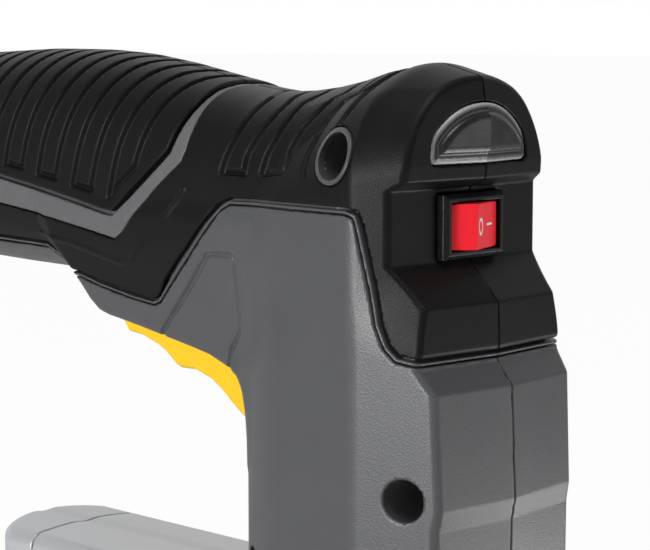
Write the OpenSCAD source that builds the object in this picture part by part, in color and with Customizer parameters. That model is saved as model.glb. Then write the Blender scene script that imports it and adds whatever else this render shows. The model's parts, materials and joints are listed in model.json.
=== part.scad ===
// Mains staple gun: two housing halves clamped round a solenoid driver, with a
// rocker switch and a work light in the head, a trigger under the grip, and a
// bottom-loading magazine that slides out to the back.
// +Z is up, the front faces -Y, and X = 0 is the plane where the halves meet.
// The origin is on the work face of the nose plate. Sizes are in millimetres.

/* [Housing] */
// Width across the widest line of the body
body_w = 43.4; // [36:0.1:53]
// Distance of the front seam ahead of the origin
body_front = 24.2; // [23:0.1:30]
// Distance of the back of the body behind the origin
body_rear = 31; // [28:0.5:38]
// Height of the housing's lower rim above the work
foot_z = 6; // [5:0.5:8]
// Height of the middle of the switch above the work
switch_z = 104; // [98:0.5:126]
// Thickness of the housing halves
wall = 2.8; // [2.2:0.1:3.4]

/* [Grip] */
// Distance of the back end of the grip behind the origin
grip_end = 150; // [125:1:182]
// Width across the grip
grip_w = 36; // [30:0.5:42]
// Height of the grip from palm to fingers
grip_h = 43; // [38:0.5:46]
// Thickness of the rubber skin
skin = 1.2; // [0.8:0.1:1.6]
// Width across the trigger housing
guard_w = 32; // [28:0.5:36]
// Height of the soft stripe along the side of the grip
stripe_h = 4.6; // [3:0.2:6]

/* [Switch and light] */
// Width of the switch bezel
bezel_w = 15.2; // [13:0.1:18]
// Height of the switch bezel
bezel_h = 10.8; // [9:0.1:12.9]
// Depth of the switch body behind its bezel
switch_depth = 12; // [10:0.5:14]
// Width of the work light's lens
lens_w = 24; // [19:0.5:28]
// Height of the work light's lens
lens_h = 10; // [8:0.5:11]

/* [Trigger] */
// Width of the trigger
trigger_w = 13; // [10:0.5:15.5]
// Swing of the trigger when it is squeezed, in degrees
trigger_swing = 7; // [4:0.5:8]
// Diameter of the trigger's pivot pin
pivot_d = 4; // [3:0.1:5]

/* [Driver] */
// Distance of the driver's axis behind the origin
driver_y = 2; // [1.8:0.1:2.4]
// Diameter of the plunger
plunger_d = 12; // [10:0.1:13.4]
// Space between the coil and the housing wall
coil_gap = 6.3; // [5:0.1:8]
// Width of the driver blade
blade_w = 10.4; // [9:0.1:12.4]
// Thickness of the driver blade
blade_t = 0.65; // [0.5:0.01:0.8]
// Clearance on each side of sliding parts
slide_gap = 0.05; // [0.03:0.01:0.1]
// Wire of the return spring
return_wire = 1.1; // [0.8:0.1:1.3]

/* [Magazine] */
// Width across the magazine cover
mag_w = 28; // [25:0.5:33]
// Height of the top of the magazine cover above the work
mag_top = 38; // [34:0.5:45]
// Distance of the back of the magazine cover behind the origin
mag_end = 86; // [80:1:104]
// Length of the sliding magazine's end cap
cap_len = 15; // [13:0.5:18]
// Leg length of the longest staple
leg_len = 14; // [10:0.5:15]
// Width across a staple
staple_w = 10.6; // [9.6:0.1:12.6]
// Thickness of the staple wire
staple_t = 0.7; // [0.5:0.05:0.9]
// Length of the strip of staples in the magazine
strip_len = 40; // [20:1:48]

/* [Fixings] */
// Diameter of the housing screws
screw_d = 3; // [2.5:0.1:3.5]
// Diameter of the housing screws' heads
screw_head_d = 5.6; // [5:0.1:6.2]
// Diameter of the wells over the screw heads
well_d = 7; // [6.4:0.1:8]
// Diameter of the hole for the mains lead
cord_d = 7.2; // [6:0.1:8.5]

/* [Hidden] */
$fn = 64;
e = 0.01;                        // overshoot of cuts
loose = 0.3;                     // gap beside parts that move freely

// Body heights, counted from the middle of the switch
half_w = body_w / 2;
front = -body_front;
neck_z = switch_z - 22;
grip_top = switch_z + 28.4;
grip_mid = grip_top - grip_h / 2;
grip_low = grip_top - grip_h;
head_z = switch_z + 27;
trigger_z = switch_z - 24;
recess_y = front + 9.9;
brow_y = front + 6.4;
taper_z = 30;

// Driver chain, counted up from the work
rail_z = 3;
rail_t = 1.5;
staple_z = rail_z + 0.1;
crown_z = staple_z + leg_len;
track_in = crown_z + 0.4;
track_wall = 1;
track_w = staple_w + 0.4;
stroke = crown_z + 0.5;
guide_top = track_in + track_wall + 11.5;
bumper_t = 5;
bumper_top = guide_top + bumper_t;
plate_t = 2.5;
frame_leg = 2.2;
frame_depth = 16;
frame_z = max(bumper_top + 0.5, mag_top + 0.5 - plate_t);
plunger_low = bumper_top + stroke + 0.1;
collar_t = 2.5;
collar_d = plunger_d + 5;
collar_top = switch_z - bezel_h / 2 - 3.1;
return_len = stroke + 5.5 * return_wire + 0.4;
plunger_top = collar_top;
coil_top = collar_top - collar_t - return_len - plate_t;
coil_low = frame_z + plate_t;
coil_r = half_w - wall - coil_gap;
bobbin_t = 1.2;
guide_t = 2;
plate_front = 1.2;
blade_slot = blade_t / 2 + slide_gap;

// Trigger geometry
guard_end = 71;
pivot_y = guard_end - 8.5;
pivot_z = trigger_z + 6.8;
button_y = pivot_y - 13;
spring_y = pivot_y - 24;
micro_low = trigger_z + 13;

// Magazine chain
cover_wall = 1.6;
cover_low = 4.2;
cover_front = driver_y + frame_depth / 2 + 0.6;
rail_end = mag_end - 1;
strip_y = driver_y + 0.5;
pusher_len = 12;
pusher_y = strip_y + strip_len + 0.1;
rod_z = track_in + track_wall + 6;
rod_d = 3;
rod_seat = 2;
pusher_spring_d = 6.4;
core_w = staple_w - 2 * staple_t - 0.8;
core_top = crown_z - staple_t - 0.2;

boss_r = screw_d / 2 + 2.2;
screw_seat = 6;
screw_len = 14;
// Housing screws: [distance back, height]
screws = [[-0.5, switch_z + 11.5], [-16.3, switch_z - 43],
    [body_rear - 8, mag_top + boss_r + 1.3], [grip_end - 38, grip_mid + 11]];

function unit(v) = v / norm(v);
// A closed outline moved inwards by d; its points run anticlockwise
function inset(p, d) = [for (i = [0 : len(p) - 1])
    let (n = len(p), a = p[(i + n - 1) % n], b = p[i], c = p[(i + 1) % n],
        u = unit(b - a), v = unit(c - b), s = [-u.y, u.x], t = [-v.y, v.x])
    b + d * (s + t) / (1 + s * t)];
// Points on a superellipse
function oval(w, h, power, n = 48) = [for (i = [0 : n - 1])
    let (t = 360 * i / n, c = cos(t), s = sin(t))
    [sign(c) * w / 2 * pow(abs(c), 2 / power), sign(s) * h / 2 * pow(abs(s), 2 / power)]];
// An outline and its mirror image across the first axis, as one anticlockwise outline
function both(p) = concat(p, [for (i = [len(p) - 1 : -1 : 0]) if (p[i].x > 0) [-p[i].x, p[i].y]]);

// Side outline of the whole housing, [back, up]
side_outline = [
    [front + 15, foot_z], [body_rear, foot_z], [body_rear, trigger_z - 5.2],
    [body_rear + 1.8, trigger_z - 3.9], [body_rear + 6.8, trigger_z - 2.1], [55.2, trigger_z + 1.1],
    [guard_end - 6.7, trigger_z + 2.6], [guard_end - 4.4, trigger_z + 3.3], [guard_end, grip_low - 0.3],
    [96, grip_low],
    [grip_end - 6, grip_low + 2.5], [grip_end, grip_low + 8], [grip_end, grip_top - 12],
    [grip_end - 5, grip_top - 5], [118, grip_top - 0.8], [90, grip_top], [68, grip_top - 0.8],
    [51, grip_top - 3.5], [36, grip_top - 6], [28, grip_top - 6.9], [14, grip_top - 5.9],
    [2, grip_top - 3.1], [-7.2, head_z], [-13, head_z - 0.9], [brow_y, head_z - 3.2],
    [brow_y - 0.6, switch_z + 9.5], [recess_y, switch_z + 7.5], [recess_y, switch_z - 6.2],
    [front + 4, switch_z - 12.4], [front + 3.6, neck_z], [front, neck_z - 3.6], [front, taper_z - 8],
    [front + 6, foot_z + 3]];
// Plan outline of the body, [right, back]
plan_half = [[0, front], [half_w - 4.2, front + 2.6], [half_w, front + 17.4], [half_w - 4.7, body_rear - 10.4],
    [half_w - 7.6, body_rear - 5], [half_w - 13.7, body_rear]];
// Front outline of the body, [right, up]
front_half = [[half_w - 6, foot_z], [half_w, taper_z], [half_w, switch_z + 6],
    [half_w - 1.4, switch_z + 13], [half_w - 4.6, switch_z + 20], [half_w - 10, head_z - 2.5],
    [half_w - 15, head_z]];
// Front outline of the trigger housing, [right, up]
guard_half = [[guard_w / 2 - 5, trigger_z - 6], [guard_w / 2, trigger_z + 14], [guard_w / 2, grip_mid]];

module along_x(points, from, to)
    translate([from, 0, 0]) rotate([90, 0, 90]) linear_extrude(to - from) polygon(points);
module along_y(points, from, to)
    translate([0, to, 0]) rotate([90, 0, 0]) linear_extrude(to - from) polygon(points);

// The whole housing as one solid, moved inwards by d
module hull_solid(d) {
    intersection() {
        along_x(inset(side_outline, d), -half_w, half_w);
        union() {
            intersection() {
                translate([0, 0, foot_z - 1]) linear_extrude(head_z) polygon(inset(both(plan_half), d));
                along_y(inset(both(front_half), d), front, body_rear);
            }
            translate([0, 0, grip_mid]) along_y(inset(oval(grip_w, grip_h + 1, 2.5), d), 0, grip_end);
            along_y(inset(both(guard_half), d), 0, guard_end + 6 - d);
        }
    }
}
module side_half(side)
    translate([side > 0 ? 0 : -60, -60, -10]) cube([60, 300, 200]);

// Edge of the rubber skin, [back, up]
rubber_edge = [[grip_end + 1, grip_low + 8], [guard_end + 9, grip_low + 6.2], [guard_end + 5.4, grip_low + 3.6],
    [guard_end + 2.5, grip_low + 0.4],
    [46.9, switch_z - 16.5], [33.7, switch_z - 2.9], [25.4, switch_z + 3.1], [-7, switch_z + 3.6],
    [-9.4, switch_z - 3.7], [-11.7, switch_z - 18.1], [-14, switch_z - 20.2],
    [front - 1, switch_z - 20.4], [front - 1, head_z + 2], [grip_end + 1, head_z + 4]];
// Edges of the stripe, [back, up]
stripe_low = [[34.9, grip_top - 4], [37.2, switch_z + 13.6], [38.7, switch_z + 8], [55.2, switch_z - 5.4],
    [74.9, switch_z - 3.1], [grip_end - 20, switch_z - 1]];
stripe_edge = concat(stripe_low, [for (i = [len(stripe_low) - 1 : -1 : 0])
    stripe_low[i] + (i > 2 ? [0, stripe_h] : [stripe_h, i < 2 ? 0 : 1])]);
module stripe_zone(side) along_x(stripe_edge, side > 0 ? 0 : -half_w, side > 0 ? half_w : 0);
module rubber_zone() along_x(rubber_edge, -half_w - 1, half_w + 1);

// Where the head's fittings pass through the front
module head_openings(gap) {
    translate([-bezel_w / 2 + 0.8 - gap, recess_y - 4, switch_z - bezel_h / 2 + 0.8 - gap])
        cube([bezel_w - 1.6 + 2 * gap, switch_depth + 6, bezel_h - 1.6 + 2 * gap]);
    translate([0, brow_y + 7, switch_z + 10.3 - gap]) lens_outline(lens_w + 2 * gap, lens_h + 2 * gap, 12);
}
// A flat-bottomed arch, extruded forwards from its own plane
module lens_outline(w, h, depth)
    rotate([90, 0, 0]) linear_extrude(depth) intersection() {
        translate([-w / 2, 0]) square([w, h]);
        translate([0, h - w * 0.62]) circle(w * 0.62, $fn = 96);
    }

// Room for the trigger inside the housing, over its whole swing
module trigger_room() {
    back = pivot_y + pivot_d / 2 + 2.2 + 2 * loose;
    rise = (pivot_y - body_rear) * sin(trigger_swing);
    translate([-trigger_w / 2 - loose, body_rear - 1.6, trigger_z - 24])
        cube([trigger_w + 2 * loose, back - body_rear + 1.6, 24 + tongue_h + rise]);
}

// The magazine passes through the back and the underside of the body
module magazine_room()
    translate([-mag_w / 2 - 0.1, driver_y + 3, foot_z - 1])
        cube([mag_w + 0.2, body_rear, mag_top + 0.1 - foot_z + 1]);

module screw_places() for (s = screws) translate([0, s.x, s.y]) rotate([0, 90, 0]) children();

// One half of the housing; side is +1 for the left half and -1 for the right
module shell(side) {
    difference() {
        union() {
            difference() {
                intersection() {
                    union() {
                        difference() { hull_solid(0); rubber_zone(); }
                        intersection() { hull_solid(skin); rubber_zone(); }
                    }
                    side_half(side);
                }
                hull_solid(wall);
            }
            intersection() {
                hull_solid(wall / 2);
                side_half(side);
                union() {
                    screw_places() cylinder(r = boss_r, h = 100, center = true);
                    // carriers under and over the solenoid
                    for (z = [frame_z - 3 - e, coil_top + plate_t])
                        difference() {
                            translate([-30, front, z]) cube([60, body_front + body_rear, 3]);
                            translate([0, driver_y, z - 1]) cylinder(d = collar_d + 3, h = 5);
                        }
                    // posts that carry the microswitch
                    micro_post_places() cylinder(d = micro_post_d + 3, h = 100, center = true);
                    // ears of the trigger's pivot
                    translate([0, pivot_y, pivot_z]) rotate([0, 90, 0])
                        cylinder(d = pivot_d + 5, h = 100, center = true);
                    // rib that the trigger's spring pushes against
                    translate([-30, spring_y - 4, micro_z]) cube([60, 8, 2]);
                    // ledges under the control board
                    for (x = [-30, 10.5]) translate([x, 7, board_z - 2]) cube([19.5, 26, 2]);
                    // pedestal of the terminal block and posts of the cable clamp
                    translate([-6, 82, grip_low]) cube([12, 8, grip_mid - 5 - grip_low]);
                    for (x = [-7.5, 7.5]) translate([x, clamp_y + 3.5, grip_low])
                        cylinder(d = 5.4, h = grip_mid + 1 - grip_low);
                    // inlet seat
                    translate([0, grip_end - wall - 4, grip_mid]) rotate([-90, 0, 0])
                        cylinder(d = cord_d + 10, h = 8);
                }
            }
        }
        // openings and rooms
        head_openings(0.1);
        trigger_room();
        magazine_room();
        driver_room();
        electric_room();
        cord_seat(0);
        translate([0, pivot_y, pivot_z]) rotate([0, 90, 0])
            cylinder(d = pivot_d, h = pin_len + 1, center = true);
        for (x = [-7.5, 7.5]) translate([x, clamp_y + 3.5, grip_mid - 6]) cylinder(d = clamp_screw_d, h = 20);
        // screw holes: a through hole and a well on the right, a blind hole on the left
        for (s = screws) translate([0, s.x, s.y]) {
            if (side < 0) {
                rotate([0, -90, 0]) translate([0, 0, -e]) cylinder(d = screw_d, h = 60);
                rotate([0, -90, 0]) translate([0, 0, screw_seat]) cylinder(d = well_d, h = 60);
            } else
                rotate([0, 90, 0]) translate([0, 0, -e]) cylinder(d = screw_d, h = screw_len - screw_seat + 1);
        }
    }
}

// Room for the solenoid, its spring and the blade
module driver_room() {
    translate([-coil_r - 2.6, driver_y - coil_r - 0.2, frame_z])
        cube([2 * coil_r + 5.2, 2 * coil_r + 0.4, coil_top + plate_t - frame_z]);
    translate([0, driver_y, frame_z]) cylinder(d = collar_d + 1, h = collar_top + 1 - frame_z);
    translate([-nose_w / 2, -plate_front, foot_z - 1]) cube([nose_w, driver_y + 3 + plate_front, frame_z - foot_z + 1]);
}
nose_w = 16;

// Room for the switch, the control board and the microswitch
module electric_room() {
    translate([-bezel_w / 2 + 0.6, recess_y + 1, switch_z - bezel_h / 2])
        cube([bezel_w - 1.2, switch_depth + 8, bezel_h]);
    translate([-12, 6, switch_z + 8]) cube([24, 28, 9]);
    translate([-micro_w / 2 - 0.1, button_y - 7, micro_low - 1]) cube([micro_w + 0.2, 22, 14]);
}

module right_shell() color([0.42, 0.425, 0.43]) shell(-1);
module left_shell() color([0.42, 0.425, 0.43]) shell(1);

// Rubber skin on one half
module grip(side)
    difference() {
        intersection() { hull_solid(0); rubber_zone(); side_half(side); }
        hull_solid(skin);
        stripe_zone(side);
        head_openings(0.1);
        cord_seat(0);
        if (side < 0) screw_places() rotate([180, 0, 0]) cylinder(d = well_d, h = 60);
        translate([-bezel_w / 2 - 0.1, recess_y - 3, switch_z - bezel_h / 2 - 0.1])
            cube([bezel_w + 0.2, 20, bezel_h + 0.2]);
    }
module right_grip() color([0.13, 0.135, 0.14]) grip(-1);
module left_grip() color([0.13, 0.135, 0.14]) grip(1);

module stripe(side)
    difference() {
        intersection() { hull_solid(0); rubber_zone(); stripe_zone(side); }
        hull_solid(skin);
    }
module right_stripe() color([0.44, 0.445, 0.45]) stripe(-1);
module left_stripe() color([0.44, 0.445, 0.45]) stripe(1);

module housing_screws()
    color([0.2, 0.2, 0.21]) for (s = screws) translate([-screw_seat, s.x, s.y]) rotate([0, 90, 0])
        difference() {
            union() {
                cylinder(d = screw_d, h = screw_len);
                translate([0, 0, -2.2]) cylinder(d = screw_head_d, h = 2.2);
            }
            for (a = [0, 90]) rotate([0, 0, a]) translate([-1.7, -0.4, -2.2 - e]) cube([3.4, 0.8, 1.4]);
        }

// Clear D-shaped lens with a hollow back
module lens()
    color([0.8, 0.82, 0.85, 0.6]) difference() {
        translate([0, brow_y + 3, switch_z + 10.3]) lens_outline(lens_w, lens_h, 5);
        translate([0, brow_y + 3 + e, switch_z + 10.3 + 1.2]) lens_outline(lens_w - 2.4, lens_h - 2.4, 3.8);
    }
module led_holder()
    color([0.78, 0.78, 0.8]) translate([0, brow_y + 5.2, switch_z + 11])
        difference() {
            lens_outline(lens_w - 1.4, lens_h - 1.4, 2.1);
            translate([0, 1, lens_h / 2 - 1]) rotate([90, 0, 0]) cylinder(d = 5.2, h = 4);
        }
module led()
    color([0.95, 0.95, 0.85]) translate([0, brow_y + 7, switch_z + 10 + lens_h / 2]) rotate([90, 0, 0]) {
        cylinder(d = 5, h = 5);
        translate([0, 0, 5]) sphere(d = 5);
    }

// Rocker switch: a bezel with a bevelled rim, and a body that snaps in behind it
module switch_body()
    color([0.08, 0.08, 0.085]) difference() {
        union() {
            translate([-bezel_w / 2, recess_y - 0.4, switch_z - bezel_h / 2]) cube([bezel_w, 0.4, bezel_h]);
            translate([-bezel_w / 2 + 0.5, recess_y - 1, switch_z - bezel_h / 2 + 0.5])
                cube([bezel_w - 1, 0.7, bezel_h - 1]);
            translate([-bezel_w / 2 + 0.9, recess_y - e, switch_z - bezel_h / 2 + 0.9])
                cube([bezel_w - 1.8, switch_depth, bezel_h - 1.8]);
        }
        difference() {
            translate([-rocker_w / 2 - 0.4, recess_y - 5, switch_z - rocker_h / 2 - 0.25])
                cube([rocker_w + 0.8, 12.5, rocker_h + 0.5]);
            // studs that the rocker turns on
            for (z = [-rocker_h / 2 - 0.3, rocker_h / 2 - 1.2]) translate([0, rocker_pivot, switch_z + z])
                cylinder(d = rocker_stud_d, h = 1.5);
        }
    }
rocker_w = bezel_w - 4;
rocker_h = bezel_h - 3.2;
rocker_pivot = recess_y + 1.4;
rocker_stud_d = 1.5;
module switch_terminals()
    color([0.75, 0.7, 0.55]) for (x = [-4, 4]) translate([x - 1.2, recess_y + switch_depth, switch_z - 2.4])
        difference() {
            cube([2.4, 6, 0.8]);
            translate([1.2, 4, -1]) cylinder(d = 1.4, h = 3);
        }
// Wedge-shaped rocker: a steep short face and a long face that carries the marks
module rocker()
    color([0.9, 0.1, 0.14]) translate([0, 0, switch_z - rocker_h / 2])
        difference() {
            linear_extrude(rocker_h) polygon([
                [-rocker_w / 2, recess_y - 0.3], [-rocker_w / 2 + 3.6, recess_y - 3.4],
                [rocker_w / 2, recess_y - 0.4], [rocker_w / 2 - 1.4, recess_y + 3.2],
                [1.5, recess_y + 5.6], [-1.5, recess_y + 5.6], [-rocker_w / 2 + 1.8, recess_y + 3]]);
            translate([0, rocker_pivot, -1]) cylinder(d = rocker_stud_d + 2 * slide_gap, h = rocker_h + 2);
        }

// Trigger: a curved finger face under the housing, a pivot eye at the back and a
// tongue at the front that lifts the microswitch's button
module trigger() {
    t = trigger_z;
    color([0.98, 0.78, 0.04]) difference() {
        union() {
            along_x([
                [body_rear + 1, t - 9], [body_rear + 1.4, t - 13.6], [body_rear + 2.4, t - 14.2],
                [37.1, t - 11.4], [39.6, t - 9.4], [42.5, t - 7.7], [46.9, t - 6.4], [50.8, t - 6.5],
                [54.8, t - 4], [57, t - 2.9], [61.5, t - 1.5], [pivot_y + 2.9, t - 1.1],
                [pivot_y + 4.3, t + 1], [pivot_y + 3, pivot_z], [pivot_y, pivot_z + 3.6],
                [button_y + 3, t + tongue_h], [button_y - 3, t + tongue_h], [spring_y + 4.6, t + 5.4],
                [spring_y - 5, t + 5.4], [body_rear + 2, t - 1]],
                -trigger_w / 2, trigger_w / 2);
            translate([-trigger_w / 2, pivot_y, pivot_z]) rotate([0, 90, 0])
                cylinder(d = pivot_d + 4.4, h = trigger_w);
        }
        translate([0, pivot_y, pivot_z]) rotate([0, 90, 0])
            cylinder(d = pivot_d + 2 * slide_gap, h = trigger_w + 2, center = true);
        // seat of the spring
        translate([0, spring_y, t + 3.4]) cylinder(d = 6.4, h = 10);
        // relief in front of the pivot eye
        translate([-trigger_w / 2 + 1.6, button_y + 4, t + 0.5]) cube([trigger_w - 3.2, 4, 12]);
    }
}
pin_len = guard_w - 2 * wall - 4;
module trigger_pin()
    color([0.7, 0.71, 0.72]) translate([0, pivot_y, pivot_z]) rotate([0, 90, 0])
        cylinder(d = pivot_d, h = pin_len, center = true);
module trigger_spring()
    color([0.72, 0.73, 0.75]) translate([0, spring_y, trigger_z + 3.4])
        stacked_coils(2.6, 0.35, 6, micro_low + 2.4 - trigger_z - 3.4);
// A compression spring as level turns, each a full ring, joined by a thin backbone
module stacked_coils(r, wire_r, turns, length) {
    pitch = (length - 2 * wire_r) / (turns - 1);
    for (i = [0 : turns - 1]) translate([0, 0, wire_r + i * pitch])
        rotate_extrude() translate([r, 0]) circle(wire_r, $fn = 24);
    translate([r, 0, wire_r]) cylinder(r = wire_r * 0.8, h = length - 2 * wire_r, $fn = 24);
}

// Miniature switch over the trigger, with a separate button
micro_w = 6.4;
micro_z = micro_low + 2.4;
module microswitch()
    color([0.1, 0.1, 0.11]) difference() {
        translate([-micro_w / 2, button_y - 6, micro_z]) cube([micro_w, 20, 10]);
        translate([0, button_y, micro_low]) cylinder(d = button_d + 2 * slide_gap, h = 10);
        micro_post_places() cylinder(d = micro_post_d + 0.1, h = micro_w + 1, center = true);
    }
micro_post_d = 2.2;
module micro_post_places()
    for (y = [button_y - 4, button_y + 10]) translate([0, y, micro_z + 7.6]) rotate([0, 90, 0]) children();
button_d = 3;
tongue_h = 7.4;
module microswitch_button()
    color([0.85, 0.2, 0.1]) translate([0, button_y, trigger_z + tongue_h + 0.05])
        cylinder(d = button_d, h = micro_z + 3.4 - trigger_z - tongue_h);

// Control board in the head, above the switch
board_z = switch_z + 9.4;
module control_board()
    color([0.1, 0.34, 0.18]) difference() {
        translate([-11.5, 7, board_z]) cube([23, 26, 1.6]);
        for (x = [-9, 9]) translate([x, 9.5, board_z - 1]) cylinder(d = 2.4, h = 4);
    }
module board_capacitor()
    color([0.72, 0.16, 0.1]) translate([4, 13, board_z + 1.6 + 2.6]) rotate([-90, 0, 0]) cylinder(d = 5.2, h = 11);
module board_triac()
    color([0.3, 0.3, 0.32]) translate([-9, 12, board_z + 1.6]) {
        cube([10, 9, 1.3]);
        translate([0, 9, 0]) cube([10, 6, 4.4]);
    }
module terminal_block()
    color([0.9, 0.88, 0.8]) difference() {
        translate([-7, 80, grip_mid - 5]) cube([14, 12, 9]);
        for (x = [-3.5, 3.5]) {
            translate([x, 79, grip_mid]) rotate([-90, 0, 0]) cylinder(d = wire_hole, h = 14);
            translate([x, 86, grip_mid]) cylinder(d = 2.6, h = 6);
        }
    }
wire_hole = 2.2;
wire_d = 1.8;

// Solenoid
module coil_bobbin()
    color([0.9, 0.9, 0.86]) translate([0, driver_y, coil_low]) difference() {
        union() {
            cylinder(r = plunger_d / 2 + 1.3, h = coil_top - coil_low);
            cylinder(r = coil_r, h = bobbin_t);
            translate([0, 0, coil_top - coil_low - bobbin_t]) cylinder(r = coil_r, h = bobbin_t);
        }
        translate([0, 0, -1]) cylinder(r = plunger_d / 2 + slide_gap, h = coil_top - coil_low + 2);
    }
module coil_winding()
    color([0.72, 0.38, 0.18]) translate([0, driver_y, coil_low + bobbin_t]) difference() {
        cylinder(r = coil_r - 0.6, h = coil_top - coil_low - 2 * bobbin_t);
        translate([0, 0, -1]) cylinder(r = plunger_d / 2 + 1.3, h = coil_top - coil_low);
    }
module solenoid_frame()
    color([0.6, 0.61, 0.62]) difference() {
        translate([-coil_r - 0.2 - frame_leg, driver_y - frame_depth / 2, frame_z])
            cube([2 * (coil_r + 0.2 + frame_leg), frame_depth, coil_top - frame_z]);
        translate([-coil_r - 0.2, driver_y - frame_depth, coil_low])
            cube([2 * coil_r + 0.4, 2 * frame_depth, coil_top]);
        translate([0, driver_y, 0]) cylinder(r = plunger_d / 2 + 2 * slide_gap, h = 200);
    }
module solenoid_top()
    color([0.6, 0.61, 0.62]) difference() {
        translate([-coil_r - 0.2 - frame_leg, driver_y - frame_depth / 2, coil_top])
            cube([2 * (coil_r + 0.2 + frame_leg), frame_depth, plate_t]);
        translate([0, driver_y, 0]) cylinder(r = plunger_d / 2 + 2 * slide_gap, h = 200);
    }
module bumper()
    color([0.15, 0.15, 0.15]) difference() {
        translate([0, driver_y, guide_top]) cylinder(d = nose_w - 1.4, h = bumper_t);
        translate([-blade_w / 2 - loose, driver_y - blade_t / 2 - loose, guide_top - 1])
            cube([blade_w + 2 * loose, blade_t + 2 * loose, bumper_t + 2]);
    }
module return_spring()
    color([0.7, 0.71, 0.73]) translate([0, driver_y, coil_top + plate_t])
        stacked_coils(plunger_d / 2 + return_wire / 2 + 0.4, return_wire / 2, 6, return_len);

// Plunger with a flat slot for the blade's tang
tang_h = 8;
module plunger()
    color([0.66, 0.67, 0.68]) difference() {
        translate([0, driver_y, plunger_low]) cylinder(d = plunger_d, h = plunger_top - plunger_low);
        translate([-plunger_d, driver_y - blade_t / 2, plunger_low - e]) cube([2 * plunger_d, blade_t, tang_h + e]);
        translate([0, driver_y, plunger_low + tang_h / 2]) rotate([90, 0, 0])
            cylinder(d = 2.5, h = plunger_d + 2, center = true);
    }
module plunger_collar()
    color([0.3, 0.3, 0.31]) difference() {
        translate([0, driver_y, collar_top - collar_t]) cylinder(d = collar_d, h = collar_t);
        translate([0, driver_y, 0]) cylinder(d = plunger_d, h = 200);
    }
module driver_blade()
    color([0.78, 0.79, 0.8]) difference() {
        translate([-blade_w / 2, driver_y - blade_t / 2, stroke]) cube([blade_w, blade_t, plunger_low + tang_h - stroke]);
        translate([0, driver_y, plunger_low + tang_h / 2]) rotate([90, 0, 0]) cylinder(d = 2.5, h = 4, center = true);
    }
module blade_pin()
    color([0.5, 0.5, 0.52]) translate([0, driver_y, plunger_low + tang_h / 2]) rotate([90, 0, 0])
        cylinder(d = 2.5, h = plunger_d - 3, center = true);

// Nose: a front plate with the blade's slot milled in its back
slot_half = blade_w / 2 + slide_gap;
module nose_plate()
    color([0.7, 0.71, 0.72]) difference() {
        translate([-nose_w / 2, -plate_front, 0])
            cube([nose_w, driver_y + blade_slot + plate_front, guide_top]);
        translate([-max(slot_half, staple_w / 2 + 0.1), driver_y - blade_slot, -1])
            cube([2 * max(slot_half, staple_w / 2 + 0.1), 10, guide_top + 2]);
        nose_screw_holes();
    }
module blade_guide()
    color([0.55, 0.56, 0.57]) difference() {
        translate([-nose_w / 2, driver_y + blade_slot, track_in + track_wall])
            cube([nose_w, guide_t, guide_top - track_in - track_wall]);
        nose_screw_holes();
    }
nose_screw_d = 1.4;
module nose_screw_holes()
    for (x = [-1, 1]) translate([x * (nose_w / 2 - 1.1), -10, guide_top - 3]) rotate([-90, 0, 0])
        cylinder(d = nose_screw_d, h = 30);
module nose_screws()
    color([0.25, 0.25, 0.26]) for (x = [-1, 1])
        translate([x * (nose_w / 2 - 1.1), -plate_front, guide_top - 3]) rotate([-90, 0, 0]) {
            cylinder(d = nose_screw_d, h = driver_y + blade_slot + plate_front + guide_t);
            translate([0, 0, -0.8]) cylinder(d = 2, h = 0.8);
        }

// Magazine cover: a silver channel, open below and at the back
module magazine_cover()
    color([0.78, 0.785, 0.8]) difference() {
        along_y(cover_outline(mag_w, cover_low, mag_top), cover_front, mag_end);
        along_y(cover_outline(mag_w - 2 * cover_wall, cover_low - 5, mag_top - cover_wall), driver_y, mag_end + 1);
    }
// Tall section with shoulders that slope into a nearly flat top
function cover_outline(w, low, high) = [[-w / 2, low], [w / 2, low], [w / 2, high - 2.4],
    [w / 2 - 1.6, high - 0.8], [w / 2 - 6, high], [-w / 2 + 6, high], [-w / 2 + 1.6, high - 0.8],
    [-w / 2, high - 2.4]];
// Fixed steel channel that holds the staples, open below, with a saddle for the pusher's rod
track_end = rail_end - 2;
module staple_channel()
    color([0.62, 0.63, 0.65]) difference() {
        union() {
            translate([-track_w / 2 - track_wall, driver_y + blade_slot, rail_z + 0.1])
                cube([track_w + 2 * track_wall, track_end - driver_y - blade_slot, track_in + track_wall - rail_z - 0.1]);
            for (y = [driver_y + 8, track_end - 4])
                translate([-mag_w / 2 + cover_wall, y, track_in]) cube([mag_w - 2 * cover_wall, 3, track_wall]);
        }
        translate([-track_w / 2, 0, -1]) cube([track_w, mag_end + 10, track_in + 1]);
        translate([-2, strip_y + strip_len - 6, 0]) cube([4, 200, 60]);
    }
// Staples glued side by side
module staple_strip()
    color([0.8, 0.81, 0.82]) difference() {
        translate([-staple_w / 2, strip_y, staple_z]) cube([staple_w, strip_len, leg_len]);
        translate([-staple_w / 2 + staple_t, strip_y - 1, staple_z - 1])
            cube([staple_w - 2 * staple_t, strip_len + 2, leg_len + 1 - staple_t]);
    }
// Sliding rail: a floor for the staples' legs and a core that they ride on
core_wall = 1;
module magazine_rail()
    color([0.7, 0.71, 0.73]) difference() {
        union() {
            translate([-track_w / 2 - track_wall - 1.2, strip_y, rail_z - rail_t])
                cube([track_w + 2 * track_wall + 2.4, rail_end - strip_y, rail_t]);
            translate([-core_w / 2, strip_y, rail_z - e])
                cube([core_w, rail_end - strip_y, core_top - rail_z + e]);
        }
        translate([-core_w / 2 + core_wall, strip_y - 1, rail_z])
            cube([core_w - 2 * core_wall, rail_end + 2, core_top]);
    }
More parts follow.
